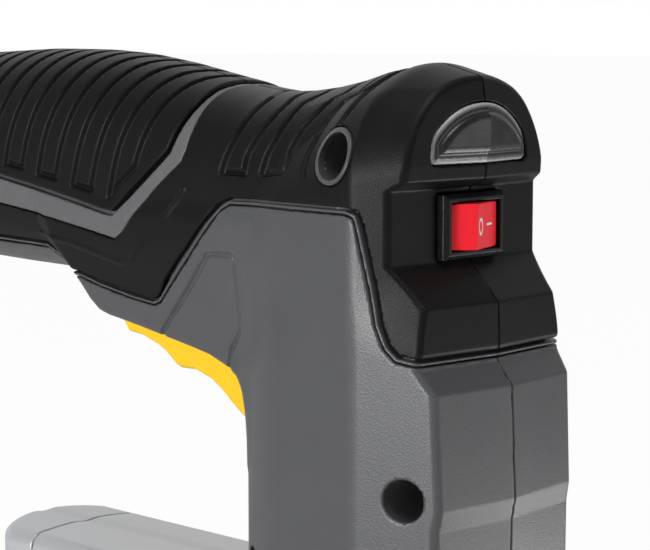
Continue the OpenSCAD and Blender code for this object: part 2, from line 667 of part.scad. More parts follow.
// End cap with two finger recesses; its foot is level with the work
module end_cap()
    color([0.74, 0.745, 0.76]) difference() {
        union() {
            intersection() {
                along_y(cover_outline(mag_w, 0, mag_top), mag_end + 0.3, mag_end + cap_len);
                translate([0, mag_end + cap_len - mag_w / 2 - 6, -1]) 
                    cylinder(r = mag_w / 2 + 6, h = mag_top + 2, $fn = 128);
            }
            // tongue that closes the cover's back
            translate([-mag_w / 2 + cover_wall + 0.2, rail_end, 0])
                cube([mag_w - 2 * cover_wall - 0.4, 3, rod_z + 6]);
        }
        translate([-latch_w / 2 - 0.2, mag_end + 4, latch_z - 0.2])
            cube([latch_w + 0.4, cap_len, latch_h + 0.4]);
        translate([0, rail_end - 1, rod_z]) rotate([-90, 0, 0]) cylinder(d = rod_d, h = 1 + rod_seat);
        translate([0, mag_end + 1.5, latch_z + latch_h / 2]) rotate([-90, 0, 0]) cylinder(d = 6.4, h = 4);
    }
latch_w = 14;
latch_h = 9;
latch_z = mag_top - 14;
latch_travel = 2.5;
module latch_button()
    color([0.16, 0.165, 0.17]) difference() {
        translate([-latch_w / 2, mag_end + 4 + latch_travel + 0.3, latch_z])
            cube([latch_w, cap_len - 5.2 - latch_travel, latch_h]);
        for (x = [-4, 0, 4]) translate([x - 0.5, mag_end + cap_len - 1.5, latch_z - 1]) cube([1, 3, latch_h + 2]);
    }
module latch_spring()
    color([0.7, 0.71, 0.73]) translate([0, mag_end + 1.5, latch_z + latch_h / 2]) rotate([-90, 0, 0])
        stacked_coils(2.4, 0.3, 5, 2.5 + latch_travel + 0.3);

// Pusher behind the strip, its return spring and the rod that guides both
module pusher()
    color([0.2, 0.2, 0.21]) difference() {
        union() {
            difference() {
                translate([-track_w / 2 + 0.1, pusher_y, staple_z + 0.1])
                    cube([track_w - 0.2, pusher_len, crown_z - staple_z - 0.1]);
                translate([-core_w / 2 - 0.1, pusher_y - 1, 0]) cube([core_w + 0.2, pusher_len + 2, core_top + 0.1]);
            }
            translate([-1.7, pusher_y, crown_z - e]) cube([3.4, pusher_len, rod_z - crown_z + 2.6]);
        }
        translate([0, pusher_y - 1, rod_z]) rotate([-90, 0, 0])
            cylinder(d = rod_d + 2 * slide_gap, h = pusher_len + 2);
    }
module spring_rod()
    color([0.72, 0.73, 0.74]) translate([0, pusher_y - 4, rod_z]) rotate([-90, 0, 0])
        cylinder(d = rod_d, h = rail_end + rod_seat - pusher_y + 4);
module pusher_spring()
    color([0.7, 0.71, 0.73]) translate([0, pusher_y + pusher_len, rod_z]) rotate([-90, 0, 0])
        stacked_coils(pusher_spring_d / 2 - 0.4, 0.35, 12, rail_end - pusher_y - pusher_len);

// Inlet bushing for the mains lead, held in the back of the grip
inlet_flange = 2.5;
module cord_seat(gap)
    translate([0, grip_end - wall - 12, grip_mid]) rotate([-90, 0, 0]) {
        cylinder(d = cord_d + 5 + gap, h = 30);
        translate([0, 0, 7]) cylinder(d = cord_d + 8 + gap, h = 3);
    }
module cord_inlet()
    color([0.1, 0.1, 0.1]) difference() {
        union() {
            translate([0, grip_end - wall - 12, grip_mid]) rotate([-90, 0, 0]) {
                cylinder(d = cord_d + 5, h = wall + 12 + inlet_flange);
                translate([0, 0, 7]) cylinder(d = cord_d + 8, h = 3);
            }
            translate([0, grip_end, grip_mid]) rotate([-90, 0, 0]) cylinder(d = cord_d + 8, h = inlet_flange);
        }
        translate([0, grip_end - 30, grip_mid]) rotate([-90, 0, 0]) cylinder(d = cord_d, h = 60);
    }
// Bridge that grips the lead inside, with two screws into posts
clamp_y = grip_end - 26;
clamp_screw_d = 2.5;
module cable_clamp()
    color([0.85, 0.84, 0.8]) difference() {
        translate([-10, clamp_y, grip_mid + 1]) cube([20, 7, cord_d / 2 + 2]);
        translate([0, clamp_y - 1, grip_mid]) rotate([-90, 0, 0]) cylinder(d = cord_d, h = 9);
        for (x = [-7.5, 7.5]) translate([x, clamp_y + 3.5, 0]) cylinder(d = clamp_screw_d, h = 200);
    }
module clamp_screws()
    color([0.7, 0.7, 0.72]) for (x = [-7.5, 7.5]) translate([x, clamp_y + 3.5, grip_mid - 6]) {
        cylinder(d = clamp_screw_d, h = 6 + cord_d / 2 + 3);
        translate([0, 0, 6 + cord_d / 2 + 3]) cylinder(d = 4.4, h = 1.6);
    }
// Two insulated wires from the terminal block forward to the control board
module supply_wires()
    for (x = [-3.5, 3.5]) color(x < 0 ? [0.4, 0.22, 0.1] : [0.15, 0.3, 0.7])
        translate([x, 0, grip_mid]) {
            translate([0, 46, 0]) rotate([-90, 0, 0]) cylinder(d = wire_d, h = 36);
            translate([0, 46, 0]) sphere(d = wire_d);
            translate([0, 46, 0]) rotate([90, 0, 0]) cylinder(d = wire_d, h = 10);
        }

right_shell();
left_shell();
right_grip();
left_grip();
right_stripe();
left_stripe();
housing_screws();
lens();
led();
led_holder();
switch_body();
switch_terminals();
rocker();
trigger();
trigger_pin();
trigger_spring();
microswitch();
microswitch_button();
control_board();
board_capacitor();
board_triac();
terminal_block();
coil_bobbin();
coil_winding();
solenoid_frame();
solenoid_top();
bumper();
return_spring();
plunger();
plunger_collar();
driver_blade();
blade_pin();
nose_plate();
blade_guide();
nose_screws();
magazine_cover();
staple_channel();
staple_strip();
magazine_rail();
end_cap();
latch_button();
latch_spring();
pusher();
pusher_spring();
spring_rod();
cord_inlet();
cable_clamp();
clamp_screws();
supply_wires();
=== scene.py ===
"""Looks of a hand-held mains staple gun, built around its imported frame.

Every moulded piece is a closed solid described by a field: a function of a point that is
negative inside the material and grows at about one unit per millimetre outside it. A field is
sampled on a grid with numpy and its zero surface becomes the mesh. Lengths are in millimetres
here and become metres when a mesh is made.
"""

import json
import logging
import math
from dataclasses import dataclass
from enum import Enum
from typing import Callable, Sequence

import bpy
import numpy as np
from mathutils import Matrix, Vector

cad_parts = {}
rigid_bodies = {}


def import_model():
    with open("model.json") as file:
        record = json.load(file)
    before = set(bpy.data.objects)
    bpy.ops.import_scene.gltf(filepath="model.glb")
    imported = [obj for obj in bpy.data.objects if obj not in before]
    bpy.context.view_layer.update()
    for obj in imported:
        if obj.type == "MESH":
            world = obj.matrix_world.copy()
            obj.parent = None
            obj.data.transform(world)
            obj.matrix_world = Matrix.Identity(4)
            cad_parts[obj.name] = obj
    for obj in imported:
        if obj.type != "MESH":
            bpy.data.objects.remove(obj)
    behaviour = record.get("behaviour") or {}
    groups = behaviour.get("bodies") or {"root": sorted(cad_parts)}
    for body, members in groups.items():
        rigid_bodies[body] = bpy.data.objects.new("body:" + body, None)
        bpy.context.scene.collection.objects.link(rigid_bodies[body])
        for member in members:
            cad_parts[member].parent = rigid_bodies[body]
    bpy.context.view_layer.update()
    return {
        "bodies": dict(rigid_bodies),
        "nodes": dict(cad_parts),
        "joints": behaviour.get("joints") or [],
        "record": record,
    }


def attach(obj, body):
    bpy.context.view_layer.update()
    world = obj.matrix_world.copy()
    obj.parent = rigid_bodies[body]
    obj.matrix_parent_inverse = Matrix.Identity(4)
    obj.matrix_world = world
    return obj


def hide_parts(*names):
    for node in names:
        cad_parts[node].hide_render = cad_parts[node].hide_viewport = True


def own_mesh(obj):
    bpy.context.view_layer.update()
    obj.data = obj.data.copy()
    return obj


log = logging.getLogger("staple_gun")
MM = 0.001
Array = np.ndarray
Field = Callable[[Array], Array]
Outline = Sequence[tuple[float, float]]


class Side(Enum):
    """The two halves of the housing, by the sign of X that each one fills."""

    RIGHT = -1
    LEFT = 1


# ---------------------------------------------------------------- fields


def meet(a: Array, b: Array, r: float) -> Array:
    """Common part of two solids, with its new edge rounded.

    Outside the rounding it is max(a, b); inside, the distance from the edge's arc of radius r.

    Args:
        a: Field values of the first solid.
        b: Field values of the second solid.
        r: Radius of the round edge.

    Returns:
        Field values of the common part.
    """
    return np.minimum(np.maximum(a, b), -r) + np.hypot(np.maximum(a + r, 0), np.maximum(b + r, 0))


def join(a: Array, b: Array, r: float) -> Array:
    """Union of two solids with a fillet of radius r: the mirror image of meet()."""
    return -meet(-a, -b, r)


def carve(a: Array, b: Array, r: float) -> Array:
    """Solid a with solid b cut out of it and the rim rounded to radius r."""
    return meet(a, -b, r)


def box_field(p: Array, low: Sequence[float], high: Sequence[float], r: float) -> Array:
    """Box between two corners, its edges rounded to r.

    Args:
        p: Points, one per row.
        low: Lowest corner.
        high: Highest corner.
        r: Radius of the edges.

    Returns:
        Distance outside the rounded box, negative inside.
    """
    mid = (np.asarray(low, float) + high) / 2
    half = (np.asarray(high, float) - low) / 2 - r
    q = np.abs(p - mid) - half
    return np.linalg.norm(np.maximum(q, 0), axis=1) + np.minimum(q.max(axis=1), 0) - r


def rod_field(p: Array, axis: int, centre: tuple[float, float], radius: float) -> Array:
    """Endless rod along a row axis: distance from its axis less its radius.

    Args:
        p: Points, one per row.
        axis: Which axis the rod follows, 0 to 2.
        centre: The other two coordinates of its axis, in X, Y, Z order.
        radius: Radius of the rod.

    Returns:
        Field values of the rod.
    """
    a, b = [i for i in range(3) if i != axis]
    return np.hypot(p[:, a] - centre[0], p[:, b] - centre[1]) - radius


def path_distance(u: Array, v: Array, points: Outline) -> Array:
    """Distance from an open path of straight stretches.

    Args:
        u: First coordinates.
        v: Second coordinates.
        points: Corners of the path.

    Returns:
        Distance for each pair of coordinates.
    """
    nearest = np.full(u.shape, np.inf)
    corners = np.asarray(points, float)
    for a, b in zip(corners[:-1], corners[1:]):
        e = b - a
        t = np.clip(((u - a[0]) * e[0] + (v - a[1]) * e[1]) / (e @ e), 0, 1)
        nearest = np.minimum(nearest, (u - a[0] - t * e[0]) ** 2 + (v - a[1] - t * e[1]) ** 2)
    return np.sqrt(nearest)


def outline_field(u: Array, v: Array, points: Outline) -> Array:
    """Signed distance from a closed outline, negative inside.

    The sign comes from counting the edges that a ray along u crosses.

    Args:
        u: First coordinates.
        v: Second coordinates.
        points: Corners of the outline.

    Returns:
        Distance for each pair of coordinates.
    """
    inside = np.zeros(u.shape, bool)
    corners = np.asarray(points, float)
    for a, b in zip(corners, np.roll(corners, -1, axis=0)):
        if a[1] != b[1]:
            crosses = (a[1] > v) != (b[1] > v)
            inside ^= crosses & (u < (b[0] - a[0]) * (v - a[1]) / (b[1] - a[1]) + a[0])
    return np.where(inside, -1, 1) * path_distance(u, v, [*points, points[0]])


def hollow(d: Array, half_width: float, depth: float) -> Array:
    """Depth of a groove with round shoulders: a raised cosine of the distance from its middle."""
    return depth * (0.5 + 0.5 * np.cos(np.pi * np.clip(np.abs(d) / half_width, 0, 1)))


class Profile:
    """A smooth curve through a few points, kept as a fine table.

    The straight lines between the points are averaged over a width, which rounds each corner.
    """

    STEP = 0.05

    def __init__(self, points: Outline, soften: float) -> None:
        """Works out the table.

        Args:
            points: Points of the curve, by rising first coordinate.
            soften: Width of the average.
        """
        at, value = np.asarray(points, float).T
        margin = int(soften / self.STEP) + 1
        self.at = np.arange(at[0] - margin * self.STEP, at[-1] + margin * self.STEP, self.STEP)
        window = np.hanning(max(3, int(soften / self.STEP)) + 2)
        padded = np.pad(np.interp(self.at, at, value), len(window), mode="edge")
        self.value = np.convolve(padded, window / window.sum(), "same")[len(window) : -len(window)]

    def __call__(self, t: Array) -> Array:
        """Value of the curve at t."""
        return np.interp(t, self.at, self.value)


# ---------------------------------------------------------------- surfaces


@dataclass
class Grid:
    """Block of space that a field is sampled in, and how finely."""

    low: tuple[float, float, float]
    high: tuple[float, float, float]
    cell: float
    COARSE = 4

    def sample(self, field: Field) -> Array:
        """Field values at every corner of the grid, exact near the surface.

        A first pass at every fourth corner finds where the surface can be; the rest only keeps
        its sign.

        Args:
            field: The field.

        Returns:
            Values, one per corner, as a three-dimensional array.
        """
        step = self.cell * self.COARSE
        counts = [int(math.ceil((b - a) / step)) + 2 for a, b in zip(self.low, self.high)]
        start = np.asarray(self.low) - step / 2
        axes = [s + step * np.arange(n) for s, n in zip(start, counts)]
        rough = field(np.stack(np.meshgrid(*axes, indexing="ij"), -1).reshape(-1, 3)).reshape(counts)
        fine = [np.arange((n - 1) * self.COARSE + 1) for n in counts]
        nearest = [np.rint(f / self.COARSE).astype(int) for f in fine]
        value = rough[np.ix_(*nearest)]
        close = (np.abs(rough) < 1.45 * step)[np.ix_(*nearest)]
        self.start = start
        where = np.argwhere(close)
        value[close] = field(start + where * self.cell)
        return value

    def surface(self, field: Field) -> tuple[Array, Array, Array]:
        """Zero surface of a field as quads, one vertex in each grid cell that it passes through.

        Each vertex starts at the mean of the crossings on its cell's edges and is then moved
        along the field's gradient onto the surface.

        Args:
            field: The field.

        Returns:
            Vertices in millimetres, quads, and outward normals.
        """
        value = self.sample(field)
        inside = value < 0
        shape = np.array(value.shape) - 1
        corners = np.array([(i, j, k) for i in (0, 1) for j in (0, 1) for k in (0, 1)])
        count = sum(inside[i : i + shape[0], j : j + shape[1], k : k + shape[2]].astype(np.int8)
                    for i, j, k in corners)
        cells = np.argwhere((count > 0) & (count < 8))
        number = np.full(shape, -1, np.int64)
        number[tuple(cells.T)] = np.arange(len(cells))
        total = np.zeros((len(cells), 3))
        hits = np.zeros((len(cells), 1))
        for a in corners:
            for axis in np.flatnonzero(a == 0):
                b = a.copy()
                b[axis] = 1
                va, vb = value[tuple((cells + a).T)], value[tuple((cells + b).T)]
                cut = (va < 0) != (vb < 0)
                t = np.where(cut, va / np.where(cut, va - vb, 1), 0)[:, None]
                total += np.where(cut[:, None], a + t * (b - a), 0)
                hits += cut[:, None]
        points = self.start + (cells + total / hits) * self.cell
        quads = self._quads(inside, number)
        for _ in range(4):
            slope = gradient(field, points)
            size = (slope**2).sum(1, keepdims=True)
            move = field(points)[:, None] * slope / np.maximum(size, 0.25)
            length = np.linalg.norm(move, axis=1, keepdims=True)
            points -= move * np.minimum(1, 0.4 * self.cell / np.maximum(length, 1e-9))
        normals = gradient(field, points)
        normals /= np.maximum(np.linalg.norm(normals, axis=1, keepdims=True), 1e-9)
        return points, quads, normals

    @staticmethod
    def _quads(inside: Array, number: Array) -> Array:
        """One quad round each grid edge that the surface cuts, facing outwards."""
        found = []
        for axis in range(3):
            one, two = (axis + 1) % 3, (axis + 2) % 3
            a = np.moveaxis(inside, (axis, one, two), (0, 1, 2))
            n = np.moveaxis(number, (axis, one, two), (0, 1, 2))
            cut = np.argwhere(a[:-1, 1:-1, 1:-1] != a[1:, 1:-1, 1:-1])
            i, j, k = cut.T
            quad = np.stack([n[i, j, k], n[i, j + 1, k], n[i, j + 1, k + 1], n[i, j, k + 1]], 1)
            leaving = a[i, j + 1, k + 1]
            found.append(np.where(leaving[:, None], quad, quad[:, ::-1]))
        return np.concatenate(found)


def gradient(field: Field, points: Array, step: float = 0.05) -> Array:
    """Slope of a field by central differences.

    Args:
        field: The field.
        points: Points, one per row.
        step: Half the distance over which it is measured.

    Returns:
        One vector per point.
    """
    slope = np.empty_like(points)
    for axis in range(3):
        shift = np.zeros(3)
        shift[axis] = step
        slope[:, axis] = field(points + shift) - field(points - shift)
    return slope / (2 * step)


def add_mesh(name: str, points: Array, faces: list, normals: Array | None = None) -> bpy.types.Object:
    """Puts vertices in millimetres and their faces into a smooth-shaded object at the origin.

    Args:
        name: Name of the piece.
        points: Vertices, one per row.
        faces: Lists of vertex numbers, one per face.
        normals: Shading normals, one per vertex, if they are known.

    Returns:
        The new object.
    """
    mesh = bpy.data.meshes.new(name)
    mesh.from_pydata((points * MM).tolist(), [], faces)
    mesh.shade_smooth()
    if normals is not None:
        mesh.normals_split_custom_set_from_vertices(normals.tolist())
    piece = bpy.data.objects.new(name, mesh)
    bpy.context.scene.collection.objects.link(piece)
    return piece


def mould(name: str, field: Field, low: Sequence[float], high: Sequence[float], cell: float) -> bpy.types.Object:
    """Makes the piece whose surface is where a field is zero.

    Args:
        name: Name of the piece.
        field: Its field.
        low: Lowest corner of the space to look in.
        high: Highest corner of that space.
        cell: Spacing of the grid.

    Returns:
        The new object.
    """
    cell *= 1.0
    points, quads, normals = Grid(tuple(low), tuple(high), cell).surface(field)
    piece = add_mesh(name, points, quads.tolist(), normals)
    log.info("%s: %d faces", name, len(piece.data.polygons))
    return piece


# ---------------------------------------------------------------- finishes


class Wire:
    """A shader socket that takes part in sums."""

    def __init__(self, shader: "Nodes", socket: bpy.types.NodeSocket | None) -> None:
        """Keeps the socket and the shader that it belongs to."""
        self.shader, self.socket = shader, socket

    def _sum(self, operation: str, *terms: "Wire | float") -> "Wire":
        """Adds one Math node."""
        return self.shader.node("ShaderNodeMath", {"operation": operation}, dict(enumerate(terms)))

    def __add__(self, other: "Wire | float") -> "Wire":
        """Sum of the two."""
        return self._sum("ADD", self, other)

    def __sub__(self, other: "Wire | float") -> "Wire":
        """This less the other."""
        return self._sum("SUBTRACT", self, other)

    def __rsub__(self, other: float) -> "Wire":
        """The other less this."""
        return self._sum("SUBTRACT", other, self)

    def __mul__(self, other: "Wire | float") -> "Wire":
        """Product of the two."""
        return self._sum("MULTIPLY", self, other)

    __radd__ = __add__
    __rmul__ = __mul__

    def between(self, low: float, high: float) -> "Wire":
        """0 below low, 1 above high, and a smooth step between them."""
        return self.shader.node("ShaderNodeMapRange", {"interpolation_type": "SMOOTHSTEP"},
                                {"Value": self, "From Min": low, "From Max": high})


class Nodes:
    """A node tree and the one call that adds to it."""

    def __init__(self, owner: bpy.types.Material | bpy.types.World) -> None:
        """Empties the owner's node tree."""
        owner.use_nodes = True
        self.tree = owner.node_tree
        self.tree.nodes.clear()

    def node(self, kind: str, settings: dict | None = None, inputs: dict | None = None, out: int = 0) -> Wire:
        """Adds any node.

        Args:
            kind: Type of the node.
            settings: Its properties, set first.
            inputs: Values or wires, by socket name or number.
            out: Which output to hand back.

        Returns:
            That output.
        """
        node = self.tree.nodes.new(kind)
        for key, value in (settings or {}).items():
            setattr(node, key, value)
        for key, value in (inputs or {}).items():
            self.feed(node, key, value)
        return Wire(self, node.outputs[out] if node.outputs else None)

    def feed(self, node: bpy.types.Node, key: str | int, value: object) -> None:
        """Gives a socket a wire or a plain value."""
        if isinstance(value, Wire):
            self.tree.links.new(value.socket, node.inputs[key])
        else:
            node.inputs[key].default_value = value


class Shader(Nodes):
    """A node material and the few calls that fill it."""

    def __init__(self, name: str) -> None:
        """Makes an empty material with its surface joined up."""
        self.material = bpy.data.materials.new(name)
        super().__init__(self.material)
        self.surface = self.tree.nodes.new("ShaderNodeBsdfPrincipled")
        output = self.tree.nodes.new("ShaderNodeOutputMaterial")
        self.tree.links.new(self.surface.outputs[0], output.inputs[0])

    def set(self, **inputs: object) -> None:
        """Feeds the surface's own sockets; an underscore stands for a space."""
        for key, value in inputs.items():
            self.feed(self.surface, key.replace("_", " "), value)

    def place(self, stretch: tuple[float, float, float] = (1, 1, 1)) -> Wire:
        """Position on the piece in millimetres, stretched along each axis."""
        spot = self.node("ShaderNodeTexCoord", out=3)
        return self.node("ShaderNodeVectorMath", {"operation": "MULTIPLY"},
                         {0: spot, 1: tuple(s / MM for s in stretch)})

    def noise(self, size: float, detail: float = 2, stretch: tuple[float, float, float] = (1, 1, 1)) -> Wire:
        """Noise whose lumps are about size millimetres across."""
        return self.node("ShaderNodeTexNoise", None,
                         {"Vector": self.place(stretch), "Scale": 1 / size, "Detail": detail})

    def specks(self, size: float) -> Wire:
        """Distance to the nearest of many scattered points, for pits and grains."""
        return self.node("ShaderNodeTexVoronoi", None, {"Vector": self.place(), "Scale": 1 / size})

    def attribute(self, name: str) -> Wire:
        """A number kept on the piece's vertices."""
        return self.node("ShaderNodeAttribute", {"attribute_name": name}, out=2)

    def mix(self, share: "Wire | float", one: object, other: object) -> Wire:
        """Colour between one and other."""
        return self.node("ShaderNodeMix", {"data_type": "RGBA"}, {0: share, 6: one, 7: other}, out=2)

    def bump(self, height: Wire, depth: float, below: Wire | None = None) -> Wire:
        """Normal tilted by a height pattern whose full height is depth millimetres."""
        inputs: dict = {"Height": height, "Distance": depth * MM, "Strength": 1.0}
        if below is not None:
            inputs["Normal"] = below
        return self.node("ShaderNodeBump", None, inputs)


Colour = tuple[float, float, float]


def rgba(colour: Colour, gain: float = 1.0) -> tuple[float, float, float, float]:
    """A colour as four numbers, made brighter or darker."""
    return (colour[0] * gain, colour[1] * gain, colour[2] * gain, 1.0)


@dataclass(frozen=True)
class Moulded:
    """Moulded plastic or rubber with the fine pitted skin of a spark-eroded mould."""

    name: str
    colour: Colour
    roughness: float = 0.45
    grain: float = 0.35
    depth: float = 0.02
    mottle: float = 0.08
    coat: float = 0.0
    specular: float = 0.5

    def make(self) -> bpy.types.Material:
        """Makes the material: a pitted bump, faint cloudiness and uneven gloss."""
        s = Shader(self.name)
        cloud = s.noise(9, 3)
        pits = s.specks(self.grain)
        fine = s.noise(self.grain * 0.8, 2)
        base = s.mix(cloud, rgba(self.colour, 1 - self.mottle), rgba(self.colour, 1 + self.mottle))
        dusty = s.mix(fine.between(0.55, 0.75) * 0.35, base, rgba(self.colour, 1.35))
        s.set(Base_Color=dusty, Roughness=self.roughness + (fine - 0.5) * 0.16 + (cloud - 0.5) * 0.08,
              Coat_Weight=self.coat, Specular_IOR_Level=self.specular)
        s.set(Normal=s.bump(pits, self.depth, s.bump(fine, self.depth * 0.8)))
        return s.material


@dataclass(frozen=True)
class Metal:
    """Metal drawn or ground along one axis."""

    name: str
    colour: Colour
    roughness: float = 0.3
    along: int = 1
    scratch: float = 0.25
    depth: float = 0.004

    def make(self) -> bpy.types.Material:
        """Makes the material: fine lines along one axis, with stains and uneven polish."""
        s = Shader(self.name)
        stretch = tuple(0.06 if i == self.along else 1.0 for i in range(3))
        lines = s.noise(self.scratch, 3, stretch)
        stain = s.noise(7, 3)
        s.set(Base_Color=s.mix(stain, rgba(self.colour, 0.86), rgba(self.colour, 1.05)), Metallic=1.0,
              Roughness=self.roughness + (lines - 0.5) * 0.2 + (stain - 0.5) * 0.12)
        s.set(Normal=s.bump(lines, self.depth))
        return s.material


@dataclass(frozen=True)
class Painted:
    """Sprayed metallic paint with orange peel."""

    name: str
    colour: Colour
    roughness: float = 0.35

    def make(self) -> bpy.types.Material:
        """Makes the material: flakes in the colour, a low long wave and a thin clear coat."""
        s = Shader(self.name)
        flake = s.specks(0.12)
        peel = s.noise(1.6, 2)
        s.set(Base_Color=s.mix(flake, rgba(self.colour, 0.9), rgba(self.colour, 1.1)), Metallic=0.35,
              Roughness=self.roughness + (flake - 0.5) * 0.1, Coat_Weight=0.25, Coat_Roughness=0.2)
        s.set(Normal=s.bump(peel, 0.012))
        return s.material


@dataclass(frozen=True)
class Banded:
    """Something laid in close turns or rows, such as wire on a coil or glued staples."""

    name: str
    colour: Colour
    pitch: float
    along: int
    roughness: float = 0.3
    metallic: float = 1.0
    groove: float = 0.12

    def make(self) -> bpy.types.Material:
        """Makes the material: a round ridge for each turn, and a dark line of painted shade in the crevice between
        turns.
        """
        s = Shader(self.name)
        parts = s.node("ShaderNodeSeparateXYZ", None, {0: s.place()}, out=self.along)
        turn = s.node("ShaderNodeMath", {"operation": "PINGPONG"}, {0: parts, 1: self.pitch / 2}) * (2 / self.pitch)
        rough = s.noise(0.8, 2)
        # the colour falls to a quarter near the crevice between turns: painted shade where the turns meet
        s.set(Base_Color=s.mix(turn.between(0.02, 0.35), rgba(self.colour, 0.25), rgba(self.colour)),
              Metallic=self.metallic, Roughness=self.roughness + (rough - 0.5) * 0.2)
        s.set(Normal=s.bump(turn.between(0, 1), self.groove))
        return s.material


@dataclass(frozen=True)
class ClearPlastic:
    """Smoked clear plastic with a painted highlight: the light that its moulded rim catches is painted as a pale
    colour round the border.
    """

    name: str
    colour: Colour
    # edge: pale colour of the painted highlight round the rim
    edge: Colour

    def make(self) -> bpy.types.Material:
        """Makes the material: faint frosting inside and a painted highlight, a pale line round the border."""
        s = Shader(self.name)
        rim = s.attribute("rim")
        frost = s.noise(0.5, 3)
        cloud = s.noise(3.5, 2)
        inner = s.mix(cloud.between(0.35, 0.75), rgba(self.colour, 0.7), rgba(self.colour, 1.5))
        # near the border the base colour turns to the pale edge colour: a painted highlight, masked by rim
        s.set(Base_Color=s.mix(rim, inner, rgba(self.edge)), Roughness=0.22 + frost * 0.14,
              IOR=1.49, Transmission_Weight=0.3, Coat_Weight=0.1, Coat_Roughness=0.1)
        s.set(Normal=s.bump(frost, 0.006))
        return s.material


class Looks:
    """Every finish of the object, by the record's slot that it fills."""

    FINISHES = [
        Moulded("housing_grey", (0.068, 0.069, 0.073), 0.38, 0.3, 0.018),
        Moulded("stripe_grey", (0.1, 0.1, 0.104), 0.5, 0.3, 0.015),
        Moulded("rubber_black", (0.0062, 0.0064, 0.0066), 0.42, 0.26, 0.014, 0.1, 0.0, 0.14),
        Metal("black_steel", (0.09, 0.09, 0.095), 0.42),
        # the lens's third colour is the painted highlight round its rim
        ClearPlastic("clear_lens", (0.02, 0.02, 0.021), (0.7, 0.7, 0.72)),
        Moulded("led_epoxy", (0.75, 0.74, 0.6), 0.15, 0.6, 0.004, 0.03, 0.5),
        Moulded("reflector", (0.22, 0.22, 0.23), 0.3, 0.5, 0.02, 0.2, 0.2),
        Moulded("switch_black", (0.004, 0.004, 0.0042), 0.36, 0.3, 0.03, 0.08, 0.0, 0.3),
        Metal("brass_contact", (0.78, 0.6, 0.27), 0.3),
        Moulded("rocker_red", (0.9, 0.006, 0.02), 0.36, 0.3, 0.022, 0.04),
        Moulded("trigger_yellow", (0.93, 0.56, 0.002), 0.38, 0.4, 0.012, 0.03),
        Metal("bright_steel", (0.6, 0.6, 0.61), 0.24),
        Metal("spring_steel", (0.5, 0.5, 0.52), 0.25, 2),
        Moulded("board_green", (0.01, 0.1, 0.035), 0.3, 0.7, 0.01, 0.2, 0.4),
        Moulded("capacitor_red", (0.4, 0.05, 0.02), 0.28, 0.8, 0.01, 0.1, 0.4),
        Metal("sink_aluminium", (0.6, 0.61, 0.63), 0.38, 0),
        Moulded("natural_plastic", (0.66, 0.63, 0.54), 0.42, 0.5, 0.01),
        Banded("copper_wire", (0.62, 0.22, 0.08), 0.5, 2),
        Metal("zinc_steel", (0.55, 0.56, 0.57), 0.34, 0, 0.5, 0.008),
        Moulded("bumper_rubber", (0.02, 0.02, 0.02), 0.7, 0.6, 0.03),
        Metal("ground_steel", (0.5, 0.51, 0.52), 0.26, 2),
        Painted("silver_paint", (0.52, 0.53, 0.55)),
        Banded("staple_wire", (0.62, 0.63, 0.65), 0.7, 1),
        Moulded("latch_black", (0.014, 0.014, 0.015), 0.5, 0.4, 0.02),
        Moulded("wire_sheath", (0.08, 0.1, 0.3), 0.35, 0.6, 0.006),
    ]
    MARK = Moulded("mark_white", (0.82, 0.82, 0.8), 0.45, 0.3, 0.005, 0.02)

    def __init__(self) -> None:
        """Makes every material once."""
        self.made = {finish.name: finish.make() for finish in self.FINISHES}
        self.mark = self.MARK.make()

    def __getitem__(self, slot: str) -> bpy.types.Material:
        """The material of a slot."""
        return self.made[slot]


def dress(piece: bpy.types.Object, looks: Looks, slot: str, body: str, *stands_for: str) -> None:
    """Gives a new piece its finish and its place among the moving bodies.

    Args:
        piece: The piece.
        looks: The finishes.
        slot: Name of the finish's slot.
        body: The body that the piece moves with.
        stands_for: The frame's nodes that it replaces.
    """
    piece.data.materials.append(looks[slot])
    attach(piece, body)
    if stands_for:
        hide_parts(*stands_for)


# ---------------------------------------------------------------- housing


